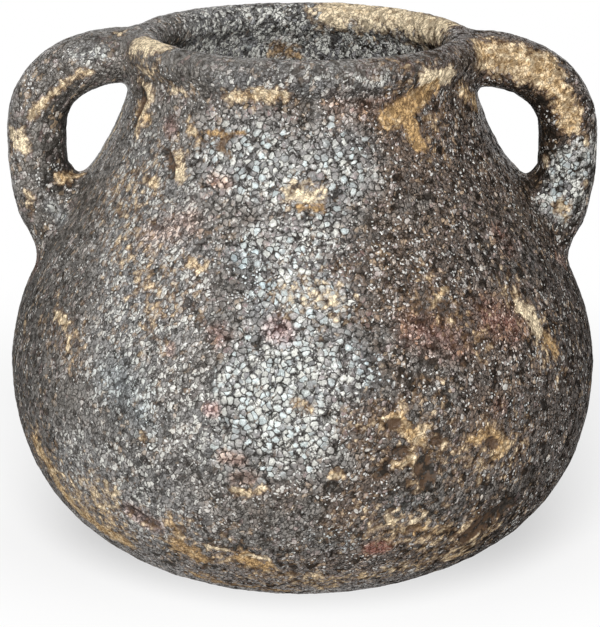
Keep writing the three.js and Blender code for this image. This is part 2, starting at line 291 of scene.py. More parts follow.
# Where the cells are coarse: strength, half width, path
COARSE_PLACES = (
    (1.00, 17.0, (-8, 140), (-5, 120), (-3, 100), (-4, 78)),
    (0.90, 12.0, (4, 140), (6, 115), (7, 92)),
    (0.80, 12.0, (-24, 156), (-5, 156), (12, 152)),
    (0.30, 9.0, (-160, 172, 48), (-179, 172, 47)),
)

# Pits and scars: depth, raised lip, half width (all in millimetres), how dark they are, path. A pit
# whose depth is below zero is a ridge.
PIT_PLACES = (
    (1.0, 0.6, 1.3, 0.9, (-43, 150), (-40, 147), (-39, 144)),
    (0.6, 0.3, 1.2, 0.6, (-23, 157), (-26, 154), (-22, 152)),
    (0.7, 0.3, 2.8, 0.9, (22, 64), (23, 58)),
    (0.9, 0.4, 1.7, 0.9, (17, 69), (18, 69)),
    (0.9, 0.4, 1.9, 0.9, (14, 63), (14, 62)),
    (0.8, 0.5, 3.2, 1.0, (36, 33), (39, 38), (43, 41)),
    (0.8, 0.3, 2.0, 0.8, (5, 59), (6, 58)),
    (0.5, 0.2, 3.0, 0.6, (25, 110), (26, 110)),
    (0.5, 0.2, 3.0, 0.6, (30, 109), (31, 109)),
    (0.8, 0.4, 1.6, 0.7, (24, 71), (25, 71)),
    (0.8, 0.4, 1.5, 0.7, (21, 63), (21, 62)),
    (0.7, 0.4, 1.8, 0.7, (16, 78), (17, 78)),
    (0.8, 0.4, 2.0, 0.7, (36, 67), (37, 66)),
    (0.7, 0.3, 1.4, 0.7, (-25, 40), (-24, 40)),
    (0.7, 0.4, 2.4, 0.6, (-35, 43), (-30, 39)),
    (0.6, 0.3, 1.6, 0.6, (-12, 61), (-9, 62)),
    (0.8, 0.4, 1.8, 0.6, (21, 41), (22, 41)),
    (0.6, 0.3, 1.5, 0.6, (-84, 131, 77), (-83, 132, 77)),
    (-1.0, 0.0, 1.5, 0.0, (-68, 169, 58), (-58, 166), (-57, 163), (-60, 157), (-60, 153)),
    (0.8, 0.0, 2.2, 0.7, (-66, 166, 58), (-62, 162), (-64, 156)),
    (-0.8, 0.0, 1.6, 0.0, (63, 167), (68, 163), (66, 157)),
)

# Marks that fall by chance on the sides and the back: how many, between which turns they begin, the heights
# that they keep to, and how far one point of a path strays from the one before
BACK_SEED = 11
BACK_WORN = 60
BACK_STAINS = 24
BACK_PALE = 8
BACK_PITS = 26
BACK_TURNS = (82, 278)
BACK_HEIGHTS = (5, 168)
BACK_STRAY = 4

# Floor, in metres: half its side, how far from the jar's middle it turns white, and where along Y its
# front changes to its back. Seen by the camera the front glows whiter: painted light that fades the jar's
# shadow there.
FLOOR_HALF = 4.0
FLOOR_WHITE = (0.13, 0.36)
FLOOR_GLOW_FRONT = (-0.1, 0.02)

# How much wider than its stated half width a mark is drawn
WORN_SPREAD = 1.3
COARSE_SPREAD = 1.4
PIT_SPREAD = 1.25

# How much browner the glaze is on the pieces of a slot, and how light. Below 1 the rim, handles and wads
# are darker, partly their own glaze and partly painted shade, as they face the lights more.
SLOT_TONES = {
    "crater_glaze": (0.0, 1.0),
    "rim_glaze": (-0.05, 0.85),
    "handle_glaze": (0.0, 0.85),
    "luting_glaze": (0.02, 0.9),
    "bare_clay": (0.05, 1.0),
}


def linear(red, green, blue):
    """A screen colour, from 0 to 255 each, as the linear colour that Blender uses."""
    shares = (red / 255, green / 255, blue / 255)
    return tuple(s / 12.92 if s <= 0.04045 else ((s + 0.055) / 1.055) ** 2.4 for s in shares)


def smooth(values, low, high):
    """0 below low, 1 above high, and a smooth rise between them."""
    t = np.clip((values - low) / (high - low), 0, 1)
    return t * t * (3 - 2 * t)


def curve(corners, count):
    """Points on a cubic curve with these four corners."""
    a, b, c, d = (np.array(corner, float) for corner in corners)
    t = np.linspace(0, 1, count)[:, None]
    return a * (1 - t) ** 3 + 3 * b * t * (1 - t) ** 2 + 3 * c * t * t * (1 - t) + d * t**3


def bend(start, corner, end):
    """Points on a bend between two points, pulled towards a corner."""
    t = np.linspace(0, 1, BEND_POINTS)[:, None]
    return (1 - t) ** 2 * start + 2 * t * (1 - t) * np.array(corner, float) + t**2 * end


def beside(points, distance):
    """A line in the half plane, moved to its right-hand side."""
    ahead = np.gradient(points, axis=0)
    ahead /= np.linalg.norm(ahead, axis=1)[:, None]
    return points + distance * np.stack([ahead[:, 1], -ahead[:, 0]], 1)


def nearest(places, line):
    """Which point of a line is nearest to each place, worked out in batches to spare memory."""
    batch = 4000
    found = np.empty(len(places), int)
    for start in range(0, len(places), batch):
        part = slice(start, start + batch)
        found[part] = ((places[part, None] - line[None]) ** 2).sum(2).argmin(1)
    return found


class Line:
    """A line in a plane, read by the length along it. Its direction is read a little before and after."""

    def __init__(self, points, little):
        self.points = points
        self.little = little
        steps = np.linalg.norm(np.diff(points, axis=0), axis=1)
        self.reach = np.concatenate([[0], np.cumsum(steps)])
        self.end = self.reach[-1]

    def at(self, distance):
        """The point at a length along the line."""
        return np.stack([np.interp(distance, self.reach, self.points[:, i]) for i in (0, 1)], -1)

    def facing(self, distance):
        """The way to the line's right-hand side there."""
        ahead = self.at(distance + self.little) - self.at(distance - self.little)
        ahead /= np.linalg.norm(ahead, axis=-1)[..., None]
        return np.stack([ahead[..., 1], -ahead[..., 0]], -1)


class Outline(Line):
    """The jar's whole skin in the half plane: from the middle of the foot, up the outside, over the rim
    and down the inside to the middle of the floor. The skin faces to the right of the line."""

    def __init__(self, form):
        foot = (form.foot_radius, 0)
        belly = (form.belly_radius, form.belly_height)
        neck = (form.neck_radius, form.neck_height)
        sweep = Vector((math.cos(form.foot_flare), math.sin(form.foot_flare))) * form.foot_sweep
        swept = (foot[0] + sweep.x, sweep.y)
        bowl = curve((foot, swept, (belly[0], belly[1] - form.belly_pull_below), belly), WALL_CURVE_POINTS)
        drawn_in = (neck[0], neck[1] - form.neck_pull)
        shoulder = curve(
            (belly, (belly[0], belly[1] + form.belly_pull_above), drawn_in, neck), WALL_CURVE_POINTS
        )
        middle = np.array((form.neck_radius - form.rim_inset, form.rim_crest - form.rim_radius))
        angles = np.linspace(-form.groove_angle, math.pi + form.groove_angle, COIL_POINTS)
        coil = middle + form.rim_radius * np.stack([np.cos(angles), np.sin(angles)], 1)
        below = form.neck_height - form.groove_width
        outside = shoulder[shoulder[:, 1] < below]
        groove = bend(outside[-1], (form.neck_radius - form.groove_depth, form.neck_height), coil[0])
        inside = np.concatenate([beside(bowl, -form.wall), beside(shoulder, -form.wall)[1:]])
        inside = inside[(inside[:, 1] < below) & (inside[:, 1] > form.floor)][::-1]
        throat = bend(coil[-1], (form.neck_radius - form.wall, form.neck_height), inside[0])
        floor = [(inside[-1][0], form.floor), (0, form.floor)]
        parts = ([(0, 0)], bowl, outside[1:], groove[1:-1], coil, throat[1:-1], inside, floor)
        super().__init__(np.concatenate([np.array(part, float) for part in parts]), 0.4 * MM)
        self.crest = self.reach[np.argmax(self.points[:, 1])]

    def outside_at(self, height):
        """The length at which the outside reaches a height."""
        up = self.reach <= self.crest
        return float(np.interp(height, self.points[up, 1], self.reach[up]))

    def inside_at(self, height):
        """The length at which the inside, going down, reaches a height."""
        down = self.reach >= self.crest
        return float(np.interp(-height, -self.points[down, 1], self.reach[down]))

    def place(self, turn, height, radius=None):
        """A point on the jar from a turn in degrees and sizes in millimetres."""
        if radius is None:
            radius = self.at(self.outside_at(height * MM))[0] / MM
        angle = math.radians(turn)
        return np.array((radius * math.sin(angle), -radius * math.cos(angle), height)) * MM

    def depth(self, points):
        """How far points near the handles lie outside the jar's skin."""
        start, stop = self.outside_at(REACHED_OUTSIDE), self.inside_at(REACHED_INSIDE)
        lengths = np.arange(start, stop, REACHED_STEP)
        line, face = self.at(lengths), self.facing(lengths)
        flat = np.stack([np.hypot(points[:, 0], points[:, 1]), points[:, 2]], 1)
        found = nearest(flat, line)
        return ((flat - line[found]) * face[found]).sum(1)


def nearness(points, path, width):
    """1 on a path, a half at its half width from it, and 0 at twice that."""
    result = np.zeros(len(points))
    middle = path.mean(0)
    span = np.linalg.norm(path - middle, axis=1).max() + 2 * width
    close = np.flatnonzero(((points - middle) ** 2).sum(1) < span**2)
    if len(close) == 0:
        return result
    near = points[close]
    best = np.full(len(close), np.inf)
    for a, b in zip(path[:-1], path[1:]):
        line = b - a
        share = np.clip(((near - a) @ line) / max(line @ line, 1e-12), 0, 1)
        best = np.minimum(best, np.linalg.norm(near - a - share[:, None] * line, axis=1))
    result[close] = np.clip(1 - best / (2 * width), 0, 1)
    return result


class Marks:
    """Everything that is marked on the jar, at its place."""

    def __init__(self, outline):
        def wall(path):
            return np.array([outline.place(*spot) for spot in path])

        def front(path):
            return np.array(path, float) * MM

        def back(path):
            return front(path) * (1, -1, 1)

        self.worn = [(fair, full, WORN_SPREAD * w * MM, wall(p)) for fair, full, w, *p in WORN_PLACES]
        self.worn += [(fair, full, w * MM, front(p)) for fair, full, w, *p in WORN_HANDLE_PLACES]
        self.worn += [(1 - fair, full, w * MM, back(p)) for fair, full, w, *p in WORN_HANDLE_PLACES]
        self.stains = [(hue, full, w * MM, wall(p)) for hue, full, w, *p in STAIN_AND_SHEEN_PLACES]
        self.pale = [(full, w * MM, wall(p)) for full, w, *p in PALE_AND_SHEEN_PLACES]
        for side in (front, back):
            self.pale += [(full, w * MM, side(p)) for full, w, *p in PALE_AND_SHEEN_HANDLE_PLACES]
        self.coarse = [(full, w * MM, wall(p)) for full, w, *p in COARSE_PLACES]
        self.coarse += [(0.5 * full, w * MM, front(p)) for full, w, *p in PALE_AND_SHEEN_HANDLE_PLACES]
        self.pits = [(d * MM, lip * MM, w * MM, dark, wall(p)) for d, lip, w, dark, *p in PIT_PLACES]
        self.scatter(wall, np.random.default_rng(BACK_SEED))

    def scatter(self, wall, chance):
        """The same kinds of mark on the sides and back, where they fall by chance."""

        def path(low, high, steps):
            turn = chance.uniform(*BACK_TURNS)
            height = chance.uniform(low, high)
            spots = [(turn, height)]
            for _ in range(steps):
                turn += chance.uniform(-BACK_STRAY, BACK_STRAY)
                height = float(np.clip(height + chance.uniform(-BACK_STRAY, BACK_STRAY), *BACK_HEIGHTS))
                spots.append((turn, height))
            return wall(spots)

        for _ in range(BACK_WORN):
            fair, width = chance.uniform(0.1, 1.0), chance.uniform(0.9, 2.6)
            self.worn.append((fair, 1.0, width * MM, path(10, 165, chance.integers(1, 4))))
        for _ in range(BACK_STAINS):
            hue, width = chance.uniform(0.4, 1.0), chance.uniform(1.6, 4.5)
            self.stains.append((hue, 0.8, width * MM, path(20, 160, 1)))
        for _ in range(BACK_PALE):
            strength, width = chance.uniform(0.5, 0.95), chance.uniform(6, 12)
            spots = path(60, 150, 2)
            self.pale.append((strength, width * MM, spots))
            self.coarse.append((strength, COARSE_SPREAD * width * MM, spots))
        for _ in range(BACK_PITS):
            depth, width = chance.uniform(0.5, 1.0), chance.uniform(1.3, 3.0)
            spots = path(15, 160, 1)
            self.pits.append((depth * MM, 0.4 * depth * MM, width * MM, 0.8, spots))
            self.worn.append((0.6, 0.7, WORN_SPREAD * width * MM, spots))

    def relief(self, points):
        """How far pits and their lips move the skin out, and how dark they make it."""
        move, dark = np.zeros(len(points)), np.zeros(len(points))
        for depth, lip, width, shade, path in self.pits:
            near = nearness(points, path, PIT_SPREAD * width)
            bowl = smooth(near, 0.45, 0.85)
            ring = smooth(near, 0.15, 0.42) * (1 - smooth(near, 0.42, 0.6))
            move = move - depth * bowl + lip * ring
            dark = np.maximum(dark, shade * smooth(near, 0.35, 0.75))
        return move, dark

    @staticmethod
    def strongest(points, marks):
        """The strongest of some marks at each point, and that mark's own fairness or hue."""
        most, kind = np.zeros(len(points)), np.full(len(points), 0.5)
        for own, strength, width, path in marks:
            near = strength * nearness(points, path, width)
            kind = np.where(near > most, own, kind)
            most = np.maximum(most, near)
        return most, kind

    @staticmethod
    def summed(points, marks):
        """Broad marks that add up, smoothly."""
        rest = np.ones(len(points))
        for strength, width, path in marks:
            rest *= 1 - strength * smooth(nearness(points, path, width), 0.05, 0.75)
        return 1 - rest


def waver(points, form):
    """The lean and the slight unevenness of a form made by hand."""
    chance = np.random.default_rng(SWAY_SEED)
    high = smooth(points[:, 2], form.belly_height, form.rim_crest)
    clear = smooth(points[:, 2], 0, 0.2 * form.belly_height)
    moved = points.copy()
    moved[:, 2] -= math.tan(form.lean) * points[:, 0] * high
    sway = np.zeros(len(points))
    for _ in range(SWAY_WAVES):
        run = chance.normal(size=3)
        run /= np.linalg.norm(run)
        wave = chance.uniform(0.5, 1.3) * form.belly_radius
        sway += np.sin(points @ run * (2 * math.pi / wave) + chance.uniform(0, 2 * math.pi))
    outward = points[:, :2] / np.maximum(np.linalg.norm(points[:, :2], axis=1), MM)[:, None]
    moved[:, :2] += outward * (form.unevenness * (sway / SWAY_LEVEL + SWAY_OUTWARD) * clear)[:, None]
    return moved


def turned(outline, spans):
    """Points, facings, freedoms and the number of rings of a piece turned from spans of the outline. Each
    span is a pair of lengths, a step, and how freely the glaze's relief moves it."""
    lengths, free = [], []
    for start, end, step, freedom in spans:
        count = max(2, math.ceil(abs(end - start) / step) + 1)
        lengths.append(np.linspace(start, end, count))
        free.append(np.full(count, freedom))
    lengths, free = np.concatenate(lengths), np.concatenate(free)
    angles = np.linspace(0, 2 * math.pi, TURNS, endpoint=False)
    out = np.stack([np.sin(angles), -np.cos(angles)], 1)
    points = np.empty((len(lengths), TURNS, 3))
    facing = np.empty_like(points)
    for target, flat in ((points, outline.at(lengths)), (facing, outline.facing(lengths))):
        target[..., :2] = flat[:, None, :1] * out[None]
        target[..., 2] = flat[:, 1:]
    return points.reshape(-1, 3), facing.reshape(-1, 3), np.repeat(free, TURNS), len(lengths)


def skin_faces(rings, sides, closed, flipped=False):
    """Faces of a grid of rings, which closes on itself or has a cap at each end."""
    ring = np.arange(rings if closed else rings - 1)[:, None]
    side = np.arange(sides)[None]
    after, beside_it = (ring + 1) % rings * sides, (side + 1) % sides
    here = ring * sides
    corners = [here + side, here + beside_it, after + beside_it, after + side]
    faces = np.stack(corners, -1).reshape(-1, 4).tolist()
    if not closed:
        last = (rings - 1) * sides
        faces += [list(range(sides))[::-1], list(range(last, last + sides))]
    return [face[::-1] for face in faces] if flipped else faces


class HandleBar(Line):
    """One pulled handle: its middle line in the plane of X and Z, and its rounded section."""

    def __init__(self, bar, form, outline):
        self.bar = bar
        crest = form.rim_crest
        reach = form.neck_radius + bar.reach - bar.thickness / 2
        bulge = np.array((reach, crest - bar.bulge_drop))
        top = np.array((form.neck_radius - bar.root_depth, crest - bar.top_root_drop))
        low_length = outline.outside_at(crest - bar.low_root_drop)
        low = outline.at(low_length) - bar.root_depth * outline.facing(low_length)
        leaves = np.array((math.cos(bar.top_root_angle), math.sin(bar.top_root_angle)))
        enters = np.array((math.cos(bar.low_root_angle), math.sin(bar.low_root_angle)))
        over = (top, top + bar.top_root_pull * leaves, bulge + (0, bar.bulge_pull_above), bulge)
        under = (bulge, bulge - (0, bar.bulge_pull_below), low - bar.low_root_pull * enters, low)
        upper, lower = (curve(corners, HANDLE_CURVE_POINTS) for corners in (over, under))
        super().__init__(np.concatenate([upper, lower[1:]]), 0.5 * MM)

    def outward(self, distance):
        """The way out of the loop, which is on the left of the line."""
        return -self.facing(distance)

    def half_sizes(self, distance):
        """Half of the section's thickness and width."""
        swell = smooth(np.asarray(distance, float), 0, self.bar.swell)
        thick = self.bar.root_thickness + (self.bar.thickness - self.bar.root_thickness) * swell
        return thick / 2, np.full_like(thick, self.bar.width / 2)

    def skin(self, distance, angle):
        """Points on the handle, from a distance along it and an angle that starts outside the loop."""
        thick, wide = self.half_sizes(distance)
        power = self.bar.squareness
        across = np.sign(np.cos(angle)) * np.abs(np.cos(angle)) ** power * thick
        sideways = np.sign(np.sin(angle)) * np.abs(np.sin(angle)) ** power * wide
        flat = self.at(distance) + self.outward(distance) * across[..., None]
        return np.stack([flat[..., 0], sideways, flat[..., 1]], -1)

    def skin_facing(self, distance, angle, points):
        """Which way the handle faces at points on its skin."""
        turn, step = 0.02, 0.3 * MM
        around = self.skin(distance, angle + turn) - self.skin(distance, angle - turn)
        later, sooner = np.minimum(distance + step, self.end), np.maximum(distance - step, 0)
        facing = np.cross(self.skin(later, angle) - self.skin(sooner, angle), around)
        facing /= np.linalg.norm(facing, axis=1)[:, None]
        middle = self.at(distance)
        away = points - np.stack([middle[:, 0], np.zeros(len(middle)), middle[:, 1]], 1)
        return facing * np.sign((facing * away).sum(1))[:, None]

    def depth(self, points):
        """How far points lie outside the handle."""
        flat = points[:, (0, 2)]
        distance = self.reach[nearest(flat, self.points)]
        thick, wide = self.half_sizes(distance)
        across = ((flat - self.at(distance)) * self.outward(distance)).sum(1)
        power = 2 / self.bar.squareness
        swell = (np.abs(across / thick) ** power + np.abs(points[:, 1] / wide) ** power) ** (1 / power)
        return (1 - 1 / np.maximum(swell, 1e-3)) * np.hypot(across, points[:, 1])


def melted(first, second, spread):
    """Two distances joined by a soft fillet."""
    share = np.clip(0.5 + 0.5 * (second - first) / spread, 0, 1)
    return second * (1 - share) + first * share - spread * share * (1 - share)


def settle(points, depth, target):
    """Moves points onto the skin where depth has the target value, and tells which way that skin faces."""
    rounds, probe, longest, least_slope = 9, 0.05 * MM, 3 * MM, 0.05
    for _ in range(rounds):
        here = depth(points) - target
        slope = np.empty_like(points)
        for axis in range(3):
            shifted = points.copy()
            shifted[:, axis] += probe
            slope[:, axis] = (depth(shifted) - target - here) / probe
        size = np.maximum((slope**2).sum(1), least_slope)
        points = points - slope * np.clip(here / size, -longest, longest)[:, None]
    return points, slope / np.sqrt(np.maximum((slope**2).sum(1), 1e-9))[:, None]


def luting_wad(outline, handle, wad):
    """A wad of clay smeared from the handle onto the jar: a trumpet whose two rims die into both. Its sizes
    are how far it climbs the handle outside and inside the loop, where its middle lies on the outline, how
    far it goes up, down and sideways, and its fillets, with the stretch over which they change."""
    angle = np.linspace(0, 2 * math.pi, WAD_SIDES, endpoint=False)
    inward = (1 - np.cos(angle)) / 2
    climb = wad["climb_out"] + (wad["climb_in"] - wad["climb_out"]) * inward

    def skin(distance):
        """Points on the handle at distances from the end that the wad holds, one row for each ring."""
        along = handle.end - distance if wad["low"] else distance
        return handle.skin(along.ravel(), np.tile(angle, distance.size // WAD_SIDES))

    # Where each line along the handle comes out of the jar
    tries = np.linspace(0, 1, 60)[:, None] * climb[None]
    clear = outline.depth(skin(tries)).reshape(tries.shape) > 0
    meets = tries[clear.argmax(0), np.arange(WAD_SIDES)]
    corner = skin(meets)
    corner_length = np.array([outline.outside_at(height) for height in corner[:, 2]])
    corner_turn = np.arctan2(corner[:, 1], corner[:, 0])

    # Where the wad ends on the jar
    rise = -np.cos(angle) if wad["low"] else np.cos(angle)
    end_length = wad["middle"] + np.where(rise > 0, wad["up"], wad["down"]) * rise
    end_turn = np.arcsin(np.sin(angle) * wad["side"] / outline.at(end_length)[:, 0])

    half = WAD_RINGS // 2
    share = np.linspace(0, 1, half, endpoint=False)[:, None]
    on_handle = skin(climb + (meets - climb) * share)
    share = np.linspace(0, 1, WAD_RINGS - half)[:, None]
    radius, height = outline.at((corner_length + (end_length - corner_length) * share).ravel()).T
    turn = (corner_turn + (end_turn - corner_turn) * share).ravel()
    on_jar = np.stack([radius * np.cos(turn), radius * np.sin(turn), height], 1)
    points = np.concatenate([on_handle, on_jar])
    share = np.linspace(0, 1, WAD_RINGS)[:, None]
    hem = smooth(np.minimum(share, 1 - share).reshape(-1, 1), 0, WAD_HEM)
    sunk = np.repeat(WAD_LIFT - (WAD_LIFT + WAD_DIVE) * (1 - hem), WAD_SIDES)
    end = handle.end if wad["low"] else 0.0
    centre, out = handle.at(end), handle.outward(end)

    def depth(places):
        inner = smooth(-((places[:, (0, 2)] - centre) * out).sum(1), *wad["turnover"])
        aside = smooth(np.abs(places[:, 1]), *WAD_ASIDE)
        within = wad["fillet_in"] + (wad["fillet_side"] - wad["fillet_in"]) * aside
        spread = wad["fillet_out"] + (within - wad["fillet_out"]) * inner
        return melted(outline.depth(places), handle.depth(places), spread)

    outer, facing = settle(points, depth, sunk)
    inner = outer - facing * WAD_BODY
    grid = (WAD_RINGS, WAD_SIDES, 3)
    rings = np.concatenate([outer.reshape(grid), inner.reshape(grid)[::-1]])
    facings = np.concatenate([facing.reshape(grid), -facing.reshape(grid)[::-1]])
    free = np.concatenate([np.ones(len(outer)), np.zeros(len(inner))])
    return rings.reshape(-1, 3), facings.reshape(-1, 3), free


class Wire:
    """A socket in a node tree. Arithmetic on it adds the nodes that carry it out."""

    def __init__(self, tree, socket):
        self.tree = tree
        self.socket = socket

    @classmethod
    def made(cls, tree, kind, settings, inputs, output=0):
        """Any node, from its type, its settings and what goes into it. A last node has no output."""
        node = tree.nodes.new(kind)
        for name, value in settings.items():
            setattr(node, name, value)
        for name, value in inputs.items():
            if isinstance(value, Wire):
                tree.links.new(value.socket, node.inputs[name])
            else:
                node.inputs[name].default_value = value
        return cls(tree, node.outputs[output]) if len(node.outputs) else None

    def node(self, kind, settings, inputs, output=0):
        """A node in the same tree."""
        return Wire.made(self.tree, kind, settings, inputs, output)

    def also(self, output):
        """Another output of the same node."""
        return Wire(self.tree, self.socket.node.outputs[output])

    def joined(self, operation, first, second):
        """Two values put together: by Vector Math if one is a colour or a vector, otherwise by Math."""

        def many(value):
            if isinstance(value, Wire):
                return value.socket.type in ("VECTOR", "RGBA")
            return hasattr(value, "__len__")

        def full(value):
            return value if isinstance(value, Wire) or many(value) else (value, value, value)

        kind = "ShaderNodeMath"
        if many(first) or many(second):
            kind, first, second = "ShaderNodeVectorMath", full(first), full(second)
        return self.node(kind, {"operation": operation}, {0: first, 1: second})

    def __add__(self, other):
        return self.joined("ADD", self, other)

    def __sub__(self, other):
        return self.joined("SUBTRACT", self, other)

    def __rsub__(self, other):
        return self.joined("SUBTRACT", other, self)

    def __mul__(self, other):
        return self.joined("MULTIPLY", self, other)

    def __neg__(self):
        return self * -1.0

    __radd__ = __add__
    __rmul__ = __mul__

    def between(self, low, high):
        """0 below low, 1 above high, and a smooth rise between them."""
        return self.node(
            "ShaderNodeMapRange",
            {"interpolation_type": "SMOOTHSTEP"},
            {"Value": self, "From Min": low, "From Max": high},
        )

    def over(self, under, colour):
        """A colour laid over another one, as thickly as this wire says."""
        under, colour = (v if isinstance(v, Wire) else (*v, 1.0) for v in (under, colour))
        return self.node("ShaderNodeMix", {"data_type": "RGBA"}, {0: self, 6: under, 7: colour}, 2)

    def shaded(self, amount):
        """This colour made darker or lighter by a number, or tinted by a colour."""
        settings = {"data_type": "RGBA", "blend_type": "MULTIPLY"}
        return self.node("ShaderNodeMix", settings, {0: 1.0, 6: self, 7: amount}, 2)

    def size(self):
        """This number without its sign."""
        return self.joined("MAXIMUM", self, -self)

    def drawn(self, way, share):
        """Places squeezed along a way, so that what is set out on them is drawn out that way."""
        along = self.node("ShaderNodeVectorMath", {"operation": "DOT_PRODUCT"}, {0: self, 1: way}, "Value")
        return self - way * (along * share)

    def noise(self, size, detail=3.0, output="Fac"):
        """Soft random values at places, with lumps of this size."""
        inputs = {"Vector": self, "Scale": 1 / size, "Detail": detail}
        return self.node("ShaderNodeTexNoise", {}, inputs, output)

    def stirred(self, source, size, detail, reach):
        """Places pushed about, up to half this reach each way, by a noise that is read at source."""
        return self + (source.noise(size, detail, "Color") - 0.5) * reach

    def voronoi(self, size, feature):
        """A distance in random cells of this size."""
        inputs = {"Vector": self, "Scale": 1 / size}
        return self.node("ShaderNodeTexVoronoi", {"feature": feature}, inputs, "Distance")

    def cells(self, size):
        """Random cells of this size: how far each place is from the middle of its cell, and the cell's own
        three random numbers."""
        far = self.voronoi(size, "F1")
        first = self.node("ShaderNodeSeparateXYZ", {}, {0: far.also("Color")})
        return far, [first.also(axis) for axis in "XYZ"]

    def brinks(self, size):
        """How far each place is from the edge of its cell."""
        return self.voronoi(size, "DISTANCE_TO_EDGE")


def pebble_places(point, look):
    """Places pushed about a little, so that no cell has a straight side."""
    return point.stirred(point, look.coarse_cell, 3.0, look.coarse_cell)


def coarse_share(point, coarse):
    """Where coarse cells lie over the fine ones."""
    return (coarse + (point.noise(SHARE_SIZE) - 0.5) * 1.3).between(0.32, 0.68)


def domes(far, chance, low, high):
    """Rounded tops of cells, each of its own size."""
    return 1 - (far + (chance - 0.5) * 0.22).between(low, high)


def relief_tree(look):
    """Geometry nodes that raise the glaze's lumps and coarse cells along the way the skin faces."""
    tree = bpy.data.node_groups.new("glaze_relief", "GeometryNodeTree")
    for way in ("INPUT", "OUTPUT"):
        tree.interface.new_socket("Geometry", in_out=way, socket_type="NodeSocketGeometry")

    def read(name, kind="FLOAT"):
        kind = {"data_type": kind}
        return Wire.made(tree, "GeometryNodeInputNamedAttribute", kind, {"Name": name}, "Attribute")

    point = read("clay_point", "FLOAT_VECTOR")
    share = coarse_share(point, read("coarse"))
    far, chance = pebble_places(point, look).cells(look.coarse_cell)
    pebbles = (domes(far, chance[1], 0.2, 0.75) - 0.5) * (0.35 + 0.65 * share) * look.coarse_height
    lumps = (point.noise(look.lump_size) - 0.5) * (2 * look.lump_height)
    crust = (point.noise(CRUST_SIZE) - 0.45) * read("worn").between(0.2, 0.6) * (1.6 * look.lump_height)
    offset = read("clay_facing", "FLOAT_VECTOR") * ((lumps + pebbles + crust) * read("free"))
    start = Wire.made(tree, "NodeGroupInput", {}, {})
    moved = Wire.made(tree, "GeometryNodeSetPosition", {}, {"Geometry": start, "Offset": offset})
    Wire.made(tree, "NodeGroupOutput", {}, {0: moved})
    return tree


def empty_tree(owner):
    """The node tree of a new material or world, without the nodes that it starts with."""
    owner.use_nodes = True
    owner.node_tree.nodes.clear()
    return owner.node_tree


def show(tree, output, share, first, second):
    """Ends a tree with two shaders, of which the second one has this share."""
    both = Wire.made(tree, "ShaderNodeMixShader", {}, {0: share, 1: first, 2: second})
    Wire.made(tree, output, {}, {"Surface": both})


